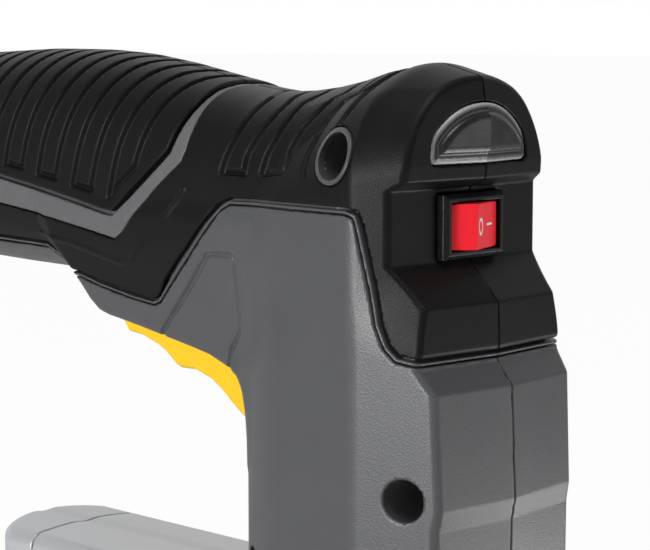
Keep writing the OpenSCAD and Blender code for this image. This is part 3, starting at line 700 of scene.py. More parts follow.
@dataclass
class Housing:
    """Shape that both halves share, and the skins and trims that lie on it."""

    wall: float = 3.8
    skin: float = 1.9
    half_width: float = 21.7
    crease_y: float = -6.8
    rear: float = 31.0
    foot: float = 6.0
    grip_end: float = 150.0
    seam: float = 0.05

    WELLS = {"lower": (-16.3, 61.0, 3.5), "low": (23.0, 43.0, 2.9), "upper": (-1.5, 115.6, 4.0),
             "back": (112.0, 121.9, 3.5)}
    # corners, edge radius and rim radius of the room for the trigger, the magazine and the nose
    ROOMS = [((-6.9, 29.4, 40), (6.9, 67.3, 91.2), 0.5, 0.5), ((-14.2, 5, -5), (14.2, 80, 38.3), 0.8, 0.5),
             ((-8, -1.3, -5), (8, 6, 12), 0.4, 0.3)]
    PANEL = [(32.2, 96), (31.6, 96.8), (30.6, 97.2), (25.3, 97.4), (24.7, 96.9), (24.6, 96.3), (26, 90), (27.1, 83.7),
             (30.7, 79.9), (32, 76), (36, 68), (58, 68), (49.8, 80.2), (41.1, 88.2)]
    EDGE = [(49.5, 87.2), (47.9, 87.8), (44.7, 90.7), (36.7, 97.1), (30.8, 102.8), (27.9, 105.8), (25.4, 107.1),
            (17.2, 107.3), (-6, 107.5), (-8.1, 106.8), (-8.7, 105), (-10.2, 97.9), (-12.1, 89.2), (-13.7, 85.8),
            (-15.3, 84.3), (-18.3, 83.8), (-60, 83.6)]
    STRIPE_LOW = [(36.4, 150), (36.4, 127), (36.8, 123), (36.9, 119.3), (37.4, 115), (38.2, 112.9), (40.1, 111.4),
                  (45.3, 107.4), (49.6, 103.6), (53.8, 99.5), (56.1, 98.1), (62.4, 99.1), (74.7, 100.9), (100, 103.6),
                  (160, 106.5)]
    STRIPE_TOP = [(160, 112), (100, 109), (73.7, 105), (66.1, 103.8), (58.8, 102.5), (56.2, 102.3), (51.2, 106.2),
                  (48.1, 108.5), (42.6, 112.9), (41.1, 114.5), (39.6, 118.9), (38.3, 122.4), (37.9, 125.6), (38, 150)]
    PAD = [(39.3, 150), (39.1, 126.9), (38.5, 125.6), (38.9, 122.6), (40.2, 119.2), (41.6, 114.9), (43, 113.6),
           (48.5, 109.2), (51.6, 106.9), (56, 103.2), (58.8, 103.4), (66.1, 104.7), (73.7, 105.9), (100, 109.9),
           (160, 113), (160, 150)]
    GUARD = [(20, 104), (20, 60), (25.9, 60), (26.2, 64.2), (27.1, 68.8), (28.7, 72.3), (30.8, 74.7), (32.8, 76.1),
             (37.8, 77.9), (42.5, 78.8), (49.4, 80), (55.2, 81.1), (61, 82.1), (64.3, 82.6), (66.6, 83.3),
             (68.6, 85.2), (70.6, 88.3), (73, 91.5), (76, 96), (78, 104)]
    CONTOUR = [(80, 97.4), (69.1, 96.4), (63.4, 95.2), (58.3, 94.1), (55.8, 93.6), (53, 94.1), (50.5, 96.3),
               (47, 99.1), (43.8, 101.6), (41.5, 103.1), (37, 108.1)]

    def __post_init__(self) -> None:
        """Works out the smooth profiles of the housing."""
        self.top = Profile(
            [(-30, 126), (-16.8, 128.6), (-12, 130.3), (-7.2, 131.0), (-2.8, 130.4), (2, 129.1), (6, 128),
             (13, 126.6), (20, 125.7), (28, 125.4), (35, 126.2), (46, 128.1), (57, 130.1), (68, 131.6),
             (78, 132.2), (92, 132.3), (110, 131.5), (130, 129.8), (152, 127)], 7)
        self.shoulder = Profile(
            [(-30, 126), (-16.8, 128.6), (-7.2, 131.0), (0, 129.6), (8, 125), (16, 119), (24, 113), (32, 109)], 6)
        self.bottom = Profile([(0, 87), (70, 87.6), (80, 89.6), (96, 89.8), (125, 90.6), (152, 93)], 8)
        self.grip_half = Profile([(0, 17.4), (40, 17.6), (80, 17.8), (120, 17.6), (152, 17)], 20)
        self.front = Profile(
            [(6, -15), (20, -22.6), (24, -23.2), (56.3, -23.5), (59.6, -24.15), (78.4, -23.3), (82, -20.3),
             (83.6, -20.3), (84.6, -20.8), (91.8, -20.5), (98.2, -14.3), (110.4, -14.3), (111.8, -17.5),
             (114.5, -17.8), (124.4, -17.3), (130, -16.4)], 0.9)
        self.slant = Profile(
            [(6, 0.09), (79, 0.1), (84, 0.085), (91.8, 0.085), (98, 0.07), (110.4, 0.07), (111.8, 0.12),
             (130, 0.12)], 0.9)
        self.guard_half = Profile([(66, 11.4), (80, 12), (97, 16.6), (110, 17.2)], 4)

    def outer(self, p: Array) -> Array:
        """Outside of the whole housing.

        The body is a prism of seven planes under a rounded crown; the grip is a superellipse
        swept along Y; the trigger housing hangs under it. The three are joined with fillets.
        The bevel between the front and the side turns a little further forward above the chin.

        Args:
            p: Points, one per row.

        Returns:
            Field values of the solid housing.
        """
        x, y, z = np.abs(p[:, 0]), p[:, 1], p[:, 2]
        low = np.clip((97 - z) / 13, 0, 1)
        low = low * low * (3 - 2 * low)
        chamfer = (0.9067 + 0.0553 * low) * (x - self.half_width) - (0.4217 - 0.1487 * low) * (y - self.crease_y)
        side = 0.9856 * (x - self.half_width) + 0.1691 * (y - self.crease_y)
        quarter = 0.756 * (x - 17) + 0.6545 * (y - 20.6)
        body = meet(chamfer, side, 0.8)
        body = meet(body, quarter, 4)
        body = meet(body, y - self.rear, 4)
        body = meet(body, 0.97 * (x - self.half_width) - 0.243 * (z - 30), 5)
        body = meet(body, 0.95 * (z - self.shoulder(y) + x**2 / 40), 8)
        body = meet(body, 0.95 * (self.front(z) + x * self.slant(z) - y), 1.1)
        body = meet(body, self.foot - z, 1.5)
        top, low = self.top(y), self.bottom(y)
        half = (top - low) / 2
        reach = ((x / self.grip_half(y)) ** 2.5 + (np.abs(z - (top + low) / 2) / half) ** 2.5) ** 0.4
        grip = meet(19 * (reach - 1), y - self.grip_end, 9)
        grip = np.maximum(grip, 0.9 * (z - top + x**2 / 40 * np.clip((34 - y) / 22, 0, 1)))
        grip = np.maximum(grip, -y)
        guard = np.full(len(p), 30.0)
        near = (y > 10) & (y < 90) & (z < 112)
        guard[near] = outline_field(y[near], z[near], self.GUARD)
        guard = meet(x - self.guard_half(z), guard, 2)
        return join(join(body, grip, 5 * np.clip((119 - z) / 10, 0.02, 1)), guard, 3)

    def rubber_zone(self, p: Array) -> Array:
        """Where the rubber skin lies, as an outline in the side view."""
        return outline_field(p[:, 1], p[:, 2], [
            (160, 150), (160, 97.5), (80, 95.6), (76.5, 93), (73.6, 91), (68.7, 90.8), (63.4, 89.4), (55.4, 87.9),
            *self.EDGE, (-60, 150)])

    def half_of(self, p: Array, side: Side) -> Array:
        """The half space that a piece of one half fills, short of the seam."""
        return self.seam - side.value * p[:, 0]

    def well(self, p: Array, side: Side, name: str, more: float = 0.0) -> Array:
        """A screw's well, wider by more, which only the right half has."""
        if side is Side.LEFT:
            return np.full(len(p), 99.0)
        y, z, r = self.WELLS[name]
        return np.maximum(rod_field(p, 0, (y, z), r + more), p[:, 0] + 6)

    def front_cuts(self, p: Array, gap: float) -> Array:
        """The switch's and the lens's openings in the front, wider by gap."""
        switch = box_field(p, (-7.6 - gap, -30, 98.6 - gap), (7.6 + gap, 20, 109.4 + gap), 0.3)
        return np.minimum(switch, WorkLight().arch(p, gap))

    @staticmethod
    def unrolled(p: Array) -> Array:
        """Height that keeps rising over the crown, where the true height stands still."""
        return p[:, 2] - 0.8 * np.abs(p[:, 0])

    FRONT_GROOVES = [
        [(29.2, 131), (28.2, 125), (25, 119.6), (24.5, 116.4), (25.1, 110), (25.9, 104.9), (27, 100.6), (27.5, 98.2),
         (22, 98.2), (21.8, 101.4), (20.6, 105.4), (19.1, 110.1), (18.3, 115.4), (19.4, 121.8), (21, 131)],
        [(14.5, 131), (13.2, 123), (12.7, 119.7), (14, 115.6), (14.8, 110), (15.9, 105.2), (17, 101.6), (17.6, 98.4),
         (12.1, 98.4), (11.8, 99.8), (11.4, 103.3), (10.1, 107.6), (8, 112), (6.6, 115.7), (4.7, 117.6), (4.5, 121),
         (5.5, 126), (6, 131)],
        [(-2.5, 131), (-2.5, 124), (-2, 119), (-1.1, 116.5), (2.5, 114.1), (4.2, 110.1), (5.4, 105.9), (6.1, 101.8),
         (6.3, 98.6), (5.7, 96.8)],
        [(-4, 131), (-4, 124), (-3.2, 119.3), (-2.4, 115.2), (-1.8, 111.6), (-0.9, 108.5), (-0.5, 107.3)],
    ]

    def front_grooves(self, p: Array) -> Array:
        """Depth of the moulded loops on the front rubber."""
        depth = np.zeros(len(p))
        h = self.unrolled(p)
        for line in self.FRONT_GROOVES:
            depth = np.maximum(depth, hollow(path_distance(p[:, 1], h, line), 0.95, 0.9))
        return depth

    def pad_grooves(self, p: Array) -> Array:
        """Depth of the grooves on the rear pad.

        They run down the pad at even steps of s, a distance along the grip that lags behind
        towards the lower edge, and each pair is closed by a groove along that edge.
        """
        y, z = p[:, 1], p[:, 2]
        fall = np.clip(self.top(y) - z, 0, 40) / 23
        s = y - 8.1 * fall**0.75 - 43.2
        edge = -outline_field(y, z, self.PAD)
        phase = (s + 2.6) % 5.2 - 2.6
        pair = s % 10.4
        lines = np.where(edge > 2.6, np.abs(phase), np.hypot(phase, edge - 2.6))
        cross = np.where(pair < 5.2, np.abs(edge - 2.6), np.hypot(edge - 2.6, np.minimum(pair - 5.2, 10.4 - pair)))
        return hollow(np.minimum(lines, cross), 0.95, 0.9) * np.clip((146 - y) / 3, 0, 1) * (s > -1.2)

    def front_rubber(self, p: Array, side: Side) -> Array:
        """Black skin of the head and of the lower grip, up to the stripe."""
        outer = self.outer(p)
        y = p[:, 1]
        gap = np.interp(y, [26, 29, 45, 47], [0.12, 0.65, 0.65, 0.12])
        contour = hollow(path_distance(y, p[:, 2], self.CONTOUR), 0.9, 0.3)
        lowered = outer + np.where(np.abs(outer) < 3, self.front_grooves(p), 0) + 0.25 - contour
        body = meet(meet(lowered, self.rubber_zone(p) + gap, 0.35), -(outer + self.skin), 0.1)
        body = meet(body, self.half_of(p, side), 0.25)
        behind = outline_field(y, p[:, 2], [*self.STRIPE_LOW, (160, 150)])
        body = carve(body, behind - 0.12, 0.25)
        body = carve(body, self.front_cuts(p, 0.12), 0.3)
        return carve(body, self.well(p, side, "upper", 0.8), 0.3)

    def well_ring(self, p: Array) -> Array:
        """Grey rim of the upper well, which stands in a hole of the rubber."""
        outer = self.outer(p)
        tube = meet(np.abs(rod_field(p, 0, self.WELLS["upper"][:2], 4.25)) - 0.4, outer - 0.2, 0.3)
        return meet(meet(tube, -(outer + 2.2), 0.05), self.half_of(p, Side.RIGHT), 0.1)

    def rear_pad(self, p: Array, side: Side) -> Array:
        """Grooved black pad of the upper grip, behind the stripe."""
        outer = self.outer(p)
        pad = outline_field(p[:, 1], p[:, 2], self.PAD)
        lowered = outer + np.where(np.abs(outer) < 3, self.pad_grooves(p), 0)
        body = meet(meet(lowered, pad, 0.5), -(outer + self.skin), 0.1)
        body = meet(body, self.half_of(p, side), 0.25)
        return carve(body, self.well(p, side, "back"), 0.4)

    def stripe(self, p: Array, side: Side) -> Array:
        """Grey stripe of one half, which fills the channel between the rubber parts."""
        outer = self.outer(p)
        zone = outline_field(p[:, 1], p[:, 2], [*self.STRIPE_LOW, *self.STRIPE_TOP])
        band = meet(meet(outer + 0.4, zone, 0.3), -(outer + self.skin), 0.1)
        return meet(band, self.half_of(p, side), 0.25)

    def whole_shell(self, p: Array, side: Side) -> tuple[Array, Array]:
        """Grey housing half and the distance to the rubber's edge.

        A wall with a pocket under the rubber and its bead, a framed panel over the trigger,
        tubes round the wells and room for what it holds.
        """
        outer = self.outer(p)
        zone = self.rubber_zone(p)
        inside = outline_field(p[:, 1], p[:, 2], self.PANEL)
        frame = hollow(inside, 0.65, 0.6) + 0.35 * np.clip(0.5 - inside, 0, 1) * np.clip((p[:, 2] - 84) / 8, 0, 1)
        body = meet(outer + frame, -(outer + self.wall), 0.2)
        body = meet(body, self.half_of(p, side), 0.25)
        for name in self.WELLS:
            body = np.minimum(body, meet(self.well(p, side, name, 1.5), outer + 2.5, 0.2))
        body = carve(body, meet(zone - 1.15, -(outer + self.skin + 0.04), 0.1), 0.25)
        body = carve(body, self.front_cuts(p, 0.1), 0.1)
        for low, high, edge, rim in self.ROOMS:
            body = carve(body, box_field(p, low, high, edge), rim)
        for name in self.WELLS:
            body = carve(body, self.well(p, side, name), 0.3)
        return body, zone

    def shell(self, p: Array, side: Side) -> Array:
        """The part of a shell that shows, with a lip under the rubber."""
        body, zone = self.whole_shell(p, side)
        return np.maximum(body, -2 - zone)

    def covered_shell(self, p: Array, side: Side) -> Array:
        """The part of a shell that the rubber covers."""
        body, zone = self.whole_shell(p, side)
        return np.maximum(body, zone + 2.05)

    def bead(self, p: Array, side: Side) -> Array:
        """Thin grey bead in the gap between the rubber and the shell."""
        outer = self.outer(p)
        strip = meet(np.abs(self.rubber_zone(p) - 0.62) - 0.24, outer + 0.05, 0.16)
        return meet(meet(strip, -(outer + self.skin + 0.1), 0.05), self.half_of(p, side), 0.1)

    def build(self, looks: "Looks") -> None:
        """Makes the shells, the skins and the stripes of both halves."""
        for side in Side:
            word = side.name.lower()
            x = (-23, 1) if side is Side.RIGHT else (-1, 23)
            makes = [("housing", self.shell, (-26, 4), (152, 108), 0.45, "housing_grey", "shell"),
                     ("housing_top", self.covered_shell, (-26, 82), (152, 134), 0.9, "housing_grey", "shell"),
                     ("rubber", self.front_rubber, (-24, 82), (152, 134), 0.38, "rubber_black", "grip"),
                     ("pad", self.rear_pad, (37, 101), (152, 134), 0.38, "rubber_black", "grip"),
                     ("stripe", self.stripe, (33, 94), (152, 134), 0.45, "stripe_grey", "stripe"),
                     ("bead", self.bead, (-26, 82), (152, 110), 0.26, "housing_grey", None)]
            for name, field, low, high, cell, slot, node in makes:
                piece = mould(f"{name}_{word}", lambda p: field(p, side), (x[0], *low), (x[1], *high), cell)
                dress(piece, looks, slot, "housing", *([f"{word}_{node}"] if node else []))
        ring = mould("well_ring", self.well_ring, (-23, -8, 109), (-10, 6, 122), 0.2)
        dress(ring, looks, "housing_grey", "housing")


# ---------------------------------------------------------------- head fittings


@dataclass
class WorkLight:
    """Lens of the work light in the brow."""

    width: float = 24.0
    height: float = 10.0
    low: float = 114.3
    face: float = -17.9

    def arch(self, p: Array, gap: float) -> Array:
        """A flat-bottomed arch running back from the front, wider by gap.

        Args:
            p: Points, one per row.
            gap: How much wider than the lens.

        Returns:
            Field values of the endless arch.
        """
        r = 0.62 * self.width + gap
        x, z = p[:, 0], p[:, 2]
        round_top = np.hypot(x, z - (self.low + self.height - 0.62 * self.width)) - r
        flat = meet(np.abs(x) - self.width / 2 - gap, self.low - gap - z, 1.1)
        return meet(meet(round_top, flat, 1.4), p[:, 1] - 2, 0.2)

    def lens(self, p: Array) -> Array:
        """Shell of the lens: a rim that stands out, and a face a little behind it."""
        x, y = p[:, 0], p[:, 1]
        arch = self.arch(p, -0.12)
        front = self.face + np.abs(x) * 0.14
        bulge = hollow(np.minimum(-arch, 3.0) - 3.0, 3.0, 0.9)
        step = hollow(arch + 1.5, 0.5, 0.22)
        solid = meet(arch, 0.95 * (front + 0.5 - bulge + step - y), 0.45)
        inner = meet(self.arch(p, -1.3), 0.95 * (front + 1.1 - y), 0.5)
        return carve(meet(solid, y + 13, 0.3), inner, 0.2)

    def build(self, looks: Looks) -> None:
        """Makes the lens and keeps, in the attribute rim, how near its border each point is: the mask of the painted
        rim highlight.
        """
        lens = mould("lens_shell", self.lens, (-12.5, -19, 113.6), (12.5, -12.5, 125), 0.22)
        at = np.empty(len(lens.data.vertices) * 3)
        lens.data.vertices.foreach_get("co", at)
        border = -self.arch(at.reshape(-1, 3) / MM, -0.12)
        # rim: 1 at the border fading to 0 inwards, where the lens finish paints its highlight
        rim = lens.data.attributes.new("rim", "FLOAT", "POINT")
        rim.data.foreach_set("value", np.clip(1.15 - border / 0.75, 0, 1) ** 1.5)
        dress(lens, looks, "clear_lens", "housing", "lens")
        lamp = mould("lamp_dome", self.dome, (-3, -18, 116), (3, -10, 122.5), 0.25)
        dress(lamp, looks, "led_epoxy", "housing", "led")

    def dome(self, p: Array) -> Array:
        """Light-emitting diode with a domed end, a little behind the lens."""
        return meet(meet(rod_field(p, 1, (0, 119), 2.5), -16.6 - p[:, 1], 2.2), p[:, 1] + 10.8, 0.2)


@dataclass
class RockerSwitch:
    """Snap-in rocker switch: a bevelled bezel and a wedge-shaped rocker."""

    width: float = 15.2
    height: float = 10.8
    mid: float = 104.0
    face: float = -14.3
    proud: float = 1.1
    rim: float = 1.2
    rocker_w: float = 11.8
    rocker_h: float = 7.6
    pivot: float = -12.9
    ridge_x: float = -2.4
    ridge_out: float = 3.3

    def bezel(self, p: Array) -> Array:
        """Flange with a bevelled rim, a body behind it and the rocker's window through both."""
        x, y, z = np.abs(p[:, 0]), p[:, 1], np.abs(p[:, 2] - self.mid)
        w, h, face = self.width / 2, self.height / 2, self.face - self.proud
        plate = np.maximum(x - w, z - h)
        slope = 0.707 * (np.maximum(x - w, z - h) + 0.15 + self.rim / 2 - (y - face) * 1.1)
        plate = meet(meet(plate, face + 0.001 - y, 0.06), slope, 0.06)
        plate = meet(plate, y - self.face - 1.4, 0.1)
        w, h = w - 0.9, h - 0.9
        body = box_field(p, (-w, self.face, self.mid - h), (w, self.face + 12, self.mid + h), 0.3)
        window = np.maximum(x - self.rocker_w / 2 - 0.3, z - self.rocker_h / 2 - 0.25)
        window = np.maximum(window, y - self.face - 7.6)
        studs = np.maximum(rod_field(p, 2, (0, self.pivot), 0.75), self.rocker_h / 2 - 0.9 - z)
        return np.minimum(carve(np.minimum(plate, body), window, 0.12), np.maximum(studs, z - self.rocker_h / 2 - 0.5))

    def rocker(self, p: Array) -> Array:
        """Wedge with a steep short face and a long face, extruded and slightly rounded."""
        w = self.rocker_w / 2
        outline = outline_field(p[:, 0], p[:, 1], [
            (-w, self.face + 0.2), (-w + 0.25, self.face - 0.35), (self.ridge_x, self.face - self.ridge_out),
            (w - 0.2, self.face - 0.55), (w, self.face - 0.2), (w - 1.4, self.face + 3.2),
            (1.5, self.face + 5.6), (-1.5, self.face + 5.6), (-w + 1.8, self.face + 3)])
        wedge = meet(outline, np.abs(p[:, 2] - self.mid) - self.rocker_h / 2, 0.3)
        return carve(wedge, rod_field(p, 2, (0, self.pivot), 0.8), 0.1)

    def marks(self, p: Array) -> Array:
        """Thin raised ring and bar on the long face."""
        rise = (self.ridge_out - 0.55) / (self.rocker_w / 2 - 0.2 - self.ridge_x)
        lean = math.hypot(1, rise)
        along = (p[:, 0] - self.ridge_x) * lean
        above = (self.face - self.ridge_out + (p[:, 0] - self.ridge_x) * rise - p[:, 1]) / lean
        z = p[:, 2] - self.mid
        ring = np.abs(np.hypot((along - 1.55) * 1.55, z * 0.92) - 1.15) - 0.2
        bar = np.maximum(np.abs(along - 5.3) - 1.15, np.abs(z - 0.15) - 0.2)
        return np.maximum(np.minimum(ring, bar), np.abs(above) - 0.05)

    def build(self, looks: Looks) -> None:
        """Makes the bezel, the rocker and its two marks."""
        bezel = mould("switch_bezel", self.bezel, (-8, -16, 98), (8, -1.8, 110), 0.22)
        dress(bezel, looks, "switch_black", "housing", "switch_body")
        rocker = mould("switch_rocker", self.rocker, (-6, -18, 99.8), (6, -8, 108.2), 0.2)
        dress(rocker, looks, "rocker_red", "rocker", "rocker")
        marks = mould("rocker_marks", self.marks, (-2, -17.8, 101.5), (6, -14, 106.5), 0.09)
        marks.data.materials.append(looks.mark)
        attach(marks, "rocker")


# ---------------------------------------------------------------- trigger and magazine


@dataclass
class Trigger:
    """Yellow trigger with a rounded finger face."""

    width: float = 13.0
    pivot: tuple[float, float] = (62.5, 86.8)
    pin_r: float = 2.0

    OUTLINE = [(31.9, 71), (32.2, 66.8), (33.1, 65.9), (37.1, 68.6), (39.6, 70.6), (42.5, 72.3), (46.9, 73.6),
               (50.8, 73.5), (51.9, 73.9), (54.8, 76), (57, 77.1), (61.5, 78.5), (65.4, 78.9), (67, 81),
               (65.5, 86.8), (62.5, 90.2), (57, 87.3), (52.5, 87.3), (46.5, 87.3), (43, 85.3), (33.6, 85.3), (33, 79)]

    def field(self, p: Array) -> Array:
        """The trigger: its outline carried across, round edges, an eye for the pin and a spring seat."""
        x, y, z = p.T
        body = meet(outline_field(y, z, self.OUTLINE), np.abs(x) - self.width / 2, 1.4)
        eye = meet(rod_field(p, 0, self.pivot, self.pin_r + 2.2), np.abs(x) - self.width / 2, 0.4)
        body = carve(np.minimum(body, eye), rod_field(p, 0, self.pivot, self.pin_r + 0.05), 0.2)
        seat = np.maximum(rod_field(p, 2, (0, 38.5), 3.2), 83.4 - z)
        return carve(body, seat, 0.2)

    def build(self, looks: Looks) -> None:
        """Makes the trigger."""
        piece = mould("trigger_lever", self.field, (-7, 30, 63), (7, 70, 92), 0.36)
        dress(piece, looks, "trigger_yellow", "trigger", "trigger")


@dataclass
class Magazine:
    """Silver cover over the staples, and the end cap that closes it."""

    width: float = 28.0
    top: float = 38.0
    front: float = 10.6
    end: float = 86.0
    cap_end: float = 101.0
    low: float = 4.2
    wall: float = 1.6

    def section(self, p: Array, inset: float) -> Array:
        """Tall cross-section with a gently crowned top, shrunk by inset."""
        x = np.abs(p[:, 0])
        crown = p[:, 2] - (self.top - x**2 / 200) + hollow(x, 3.2, 0.35 if inset == 0 else 0.0)
        return meet(x - self.width / 2 + inset, crown + inset, 2.6 - 0.6 * inset)

    def cover(self, p: Array) -> Array:
        """Channel, open below and at both ends."""
        ends = np.maximum(self.front - p[:, 1], p[:, 1] - self.end)
        solid = meet(meet(self.section(p, 0), ends, 0.3), self.low - p[:, 2], 0.3)
        return carve(solid, self.section(p, self.wall), 0.15)

    def cap(self, p: Array) -> Array:
        """End cap with a rounded end, a tongue, and the latch's pocket."""
        y = p[:, 1]
        plan = rod_field(p, 2, (0, self.cap_end - 20), 20)
        solid = meet(meet(self.section(p, 0), plan, 2), self.end + 0.3 - y, 0.3)
        solid = meet(solid, -p[:, 2], 0.8)
        tongue = box_field(p, (-12.2, self.end - 1, 0), (12.2, self.end + 2, 30.5), 0.3)
        solid = carve(np.minimum(solid, tongue), box_field(p, (-7.2, self.end + 4, 23.8), (7.2, 110, 33.2), 0.5), 0.4)
        return carve(solid, rod_field(p, 1, (0, 28.5), 3.2) + np.maximum(np.abs(y - 89.5) - 2, 0), 0.1)

    def latch(self, p: Array) -> Array:
        """Push button with three finger grooves."""
        block = box_field(p, (-7, self.end + 6.8, 24), (7, self.cap_end - 1.2, 33), 0.8)
        ridge = hollow((p[:, 2] - 28.5 + 1.2) % 2.4 - 1.2, 0.7, 0.6) * (p[:, 1] > self.end + 10)
        return block + ridge * 0.8

    def build(self, looks: Looks) -> None:
        """Makes the cover, the end cap and the latch."""
        cover = mould("magazine_shell", self.cover, (-14.5, 10, 3.6), (14.5, 86.5, 38.6), 0.55)
        dress(cover, looks, "silver_paint", "housing", "magazine_cover")
        cap = mould("magazine_end", self.cap, (-14.5, 84, -0.5), (14.5, 101.5, 38.6), 0.5)
        dress(cap, looks, "silver_paint", "magazine_slide", "end_cap")
        latch = mould("latch_cap", self.latch, (-7.5, 92, 23.5), (7.5, 100.5, 33.5), 0.3)
        dress(latch, looks, "latch_black", "latch", "latch_button")


# ---------------------------------------------------------------- springs


@dataclass
class Spring:
    """A compression spring of round wire with closed ends."""

    name: str
    node: str
    body: str
    joint: str
    start: tuple[float, float, float]
    axis: tuple[float, float, float]
    length: float
    radius: float
    wire: float
    turns: float
    travel: float

    def build(self, looks: Looks) -> None:
        """Makes the spring as a tube along a helix.

        Along the helix the angle grows evenly, and the height is still at both ends so that the
        end turns lie closed; the tube is a ring of points round each point of the helix.
        """
        t = np.linspace(0, 1, int(self.turns * 28))[:, None]
        rise = np.clip((t - 0.09) / 0.82, 0, 1) * (self.length - 4 * self.wire)
        rise += self.wire * np.clip(t / 0.09, 0, 1) + self.wire * np.clip((t - 0.91) / 0.09, 0, 1)
        angle = 2 * math.pi * self.turns * t
        w = np.array(self.axis, float)
        u = np.array([1.0, 0, 0])
        v = np.cross(w, u)
        out = u * np.cos(angle) + v * np.sin(angle)
        path = np.array(self.start) + out * self.radius + w * (self.wire + rise)
        ring = np.linspace(0, 2 * math.pi, 9)[:-1]
        tube = path[:, None] + self.wire * (out[:, None] * np.cos(ring)[:, None] + w * np.sin(ring)[:, None])
        n, m = tube.shape[:2]
        i, j = np.meshgrid(np.arange(n - 1), np.arange(m), indexing="ij")
        near, far, turn = i * m, (i + 1) * m, (j + 1) % m
        quad = np.stack([near + j, near + turn, far + turn, far + j], -1).reshape(-1, 4)
        caps = [list(range(m))[::-1], list(range((n - 1) * m, n * m))]
        piece = add_mesh(self.name, tube.reshape(-1, 3), quad.tolist() + caps)
        outwards(piece)
        dress(piece, looks, "spring_steel", self.body, self.node)
        anchor = [a * MM for a in self.start]
        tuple(self.axis)
        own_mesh(piece)
        log.info("%s: %d faces", self.name, len(piece.data.polygons))


def outwards(piece: bpy.types.Object) -> None:
    """Turns a closed mesh's faces so that its volume counts as positive."""
    mesh = piece.data
    at = np.empty(len(mesh.vertices) * 3)
    mesh.vertices.foreach_get("co", at)
    at = at.reshape(-1, 3)
    mesh.calc_loop_triangles()
    tri = np.empty(len(mesh.loop_triangles) * 3, np.int32)
    mesh.loop_triangles.foreach_get("vertices", tri)
    a, b, c = at[tri.reshape(-1, 3)].transpose(1, 0, 2)
    if np.einsum("ij,ij->i", a, np.cross(b, c)).sum() < 0:
        mesh.flip_normals()


# ---------------------------------------------------------------- inner parts


class InnerParts:
    """The frame's own parts whose shape is right as it is: they only get their finish."""

    SLOTS = {
        "housing_screws": "black_steel", "led_holder": "reflector",
        "switch_terminals": "brass_contact", "trigger_pin": "bright_steel", "microswitch": "switch_black",
        "microswitch_button": "rocker_red", "control_board": "board_green", "board_capacitor": "capacitor_red",
        "board_triac": "sink_aluminium", "terminal_block": "natural_plastic", "coil_bobbin": "natural_plastic",
        "coil_winding": "copper_wire", "solenoid_frame": "zinc_steel", "solenoid_top": "zinc_steel",
        "bumper": "bumper_rubber", "plunger": "ground_steel", "plunger_collar": "black_steel",
        "driver_blade": "ground_steel", "blade_pin": "bright_steel", "nose_plate": "ground_steel",
        "blade_guide": "ground_steel", "nose_screws": "black_steel", "staple_channel": "zinc_steel",
        "staple_strip": "staple_wire", "magazine_rail": "zinc_steel", "pusher": "latch_black",
        "spring_rod": "bright_steel", "cord_inlet": "latch_black", "cable_clamp": "natural_plastic",
        "clamp_screws": "bright_steel", "supply_wires": "wire_sheath",
    }

    def build(self, looks: Looks, nodes: dict) -> None:
        """Gives each part its finish."""
        for name, slot in self.SLOTS.items():
            piece = nodes[name]
            if not piece.material_slots:
                piece.data.materials.append(None)
            for place in piece.material_slots:
                place.material = looks[slot]
            log.info("%s: %s", name, slot)


# ---------------------------------------------------------------- studio


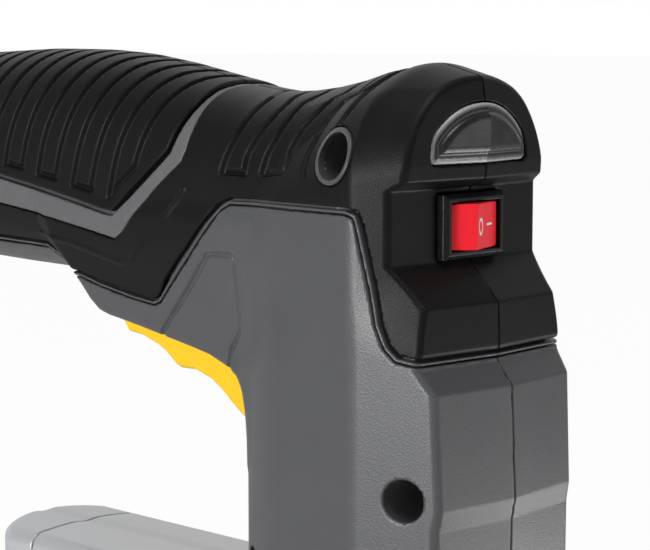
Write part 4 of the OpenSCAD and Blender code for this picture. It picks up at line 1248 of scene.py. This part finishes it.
@dataclass
class Studio:
    """White sweep, soft lights and the camera."""

    eye: tuple[float, float, float] = (-261.62, -233.44, 135.72)
    look: tuple[float, float, float] = (0.7144, 0.6899, -0.1167)
    lens: float = 115.0
    room: float = 0.18
    backdrop: float = 0.7
    reach: float = 9000.0

    def camera(self) -> None:
        """Places the camera."""
        data = bpy.data.cameras.new("camera")
        data.lens = self.lens
        data.sensor_width = 36
        data.clip_start, data.clip_end = 0.01, 50
        camera = bpy.data.objects.new("camera", data)
        camera.location = Vector(self.eye) * MM
        camera.rotation_euler = Vector(self.look).to_track_quat("-Z", "Y").to_euler()
        bpy.context.scene.collection.objects.link(camera)
        bpy.context.scene.camera = camera

    def panel(self, name: str, azimuth: float, height: float, away: float, size: float, watts: float) -> None:
        """A square soft light that faces the object.

        Args:
            name: Name of the light.
            azimuth: Direction from the object, in degrees from +X towards +Y.
            height: Degrees above the horizon.
            away: Distance in metres.
            size: Side of the square in metres.
            watts: Power.
        """
        a, h = math.radians(azimuth), math.radians(height)
        towards = Vector((math.cos(a) * math.cos(h), math.sin(a) * math.cos(h), math.sin(h)))
        turn = (-towards).to_track_quat("-Z", "Y").to_euler()
        self.square(name, size, watts, Vector((0, 0.03, 0.08)) + towards * away, turn)

    @staticmethod
    def square(name: str, size: float, watts: float, place: Sequence[float], turn: Sequence[float]) -> None:
        """Adds a square light at a place in metres, turned by Euler angles, that the camera does not see."""
        data = bpy.data.lights.new(name, "AREA")
        data.shape, data.size, data.energy = "SQUARE", size, watts
        light = bpy.data.objects.new(name, data)
        light.location, light.rotation_euler = place, turn
        light.visible_camera = False
        bpy.context.scene.collection.objects.link(light)

    def sweep(self) -> None:
        """Pale floor, white to the camera with a faint shadow."""
        corners = np.array([[-1, -1, 0], [1, -1, 0], [1, 1, 0], [-1, 1, 0]], float)
        floor = add_mesh("floor", corners * self.reach, [[0, 1, 2, 3]])
        material = bpy.data.materials.new("floor_white")
        n = Nodes(material)
        seen = n.node("ShaderNodeLightPath")
        white = n.node("ShaderNodeEmission", None, {"Color": (1, 1, 1, 1), "Strength": 1.0})
        matt = n.node("ShaderNodeBsdfDiffuse", None, {"Color": (0.8, 0.8, 0.8, 1)})
        both = n.node("ShaderNodeMixShader", None, {0: seen * 0.96, 1: matt, 2: white})
        n.node("ShaderNodeOutputMaterial", None, {0: both})
        floor.data.materials.append(material)

    def surround(self) -> None:
        """Dim room with a white backdrop behind the object, plain white where it is looked at."""
        world = bpy.data.worlds.new("studio")
        n = Nodes(world)
        seen = n.node("ShaderNodeLightPath")
        way = n.node("ShaderNodeTexCoord", out=0)
        back = n.node("ShaderNodeVectorMath", {"operation": "DOT_PRODUCT"}, {0: way, 1: (0.69, 0.72, 0.1)}, out=1)
        glow = back.between(0.35, 0.85) * self.backdrop + self.room
        light = n.node("ShaderNodeBackground", None, {"Color": (1, 1, 1, 1), "Strength": glow})
        white = n.node("ShaderNodeBackground", None, {"Color": (1, 1, 1, 1), "Strength": 1.0})
        both = n.node("ShaderNodeMixShader", None, {0: seen, 1: light, 2: white})
        n.node("ShaderNodeOutputWorld", None, {0: both})
        bpy.context.scene.world = world
        bpy.context.scene.view_settings.view_transform = "Standard"

    def build(self) -> None:
        """Sets up the studio."""
        self.camera()
        self.sweep()
        self.surround()
        self.panel("key", 180, 5, 0.9, 0.34, 6.6)
        self.panel("fill", 306, 4, 0.9, 0.4, 0.55)
        self.panel("top", 235, 72, 0.9, 0.5, 3.2)
        # a small bright card on the floor in front lights the edges that face down
        self.square("card", 0.13, 0.26, (0.115, -0.12, 0.004), (math.pi, 0, 0))


def main() -> None:
    """Builds the object around its frame, one sub-assembly after another."""
    logging.basicConfig(level=logging.INFO, format="%(message)s")
    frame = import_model()
    Studio().build()
    looks = Looks()
    Housing().build(looks)
    WorkLight().build(looks)
    RockerSwitch().build(looks)
    Trigger().build(looks)
    Magazine().build(looks)
    for spring in SPRINGS:
        spring.build(looks)
    InnerParts().build(looks, frame["nodes"])


SPRINGS = [
    Spring("trigger_coil", "trigger_spring", "housing", "trigger_squeeze",
           (0, 38.5, 95.4), (0, 0, -1), 12, 2.6, 0.35, 7, 2.9),
    Spring("return_coil", "return_spring", "housing", "driver_stroke",
           (0, 2, 68.9), (0, 0, 1), 24, 6.9, 0.55, 7, 17.6),
    Spring("latch_coil", "latch_spring", "magazine_slide", "latch_press",
           (0, 87.5, 28.5), (0, 1, 0), 5.3, 2.4, 0.3, 5, 2.5),
    Spring("pusher_coil", "pusher_spring", "magazine_slide", "pusher_slide",
           (0, 85, 24.5), (0, -1, 0), 30.4, 2.8, 0.35, 14, 18),
]

if __name__ == "__main__":
    main()
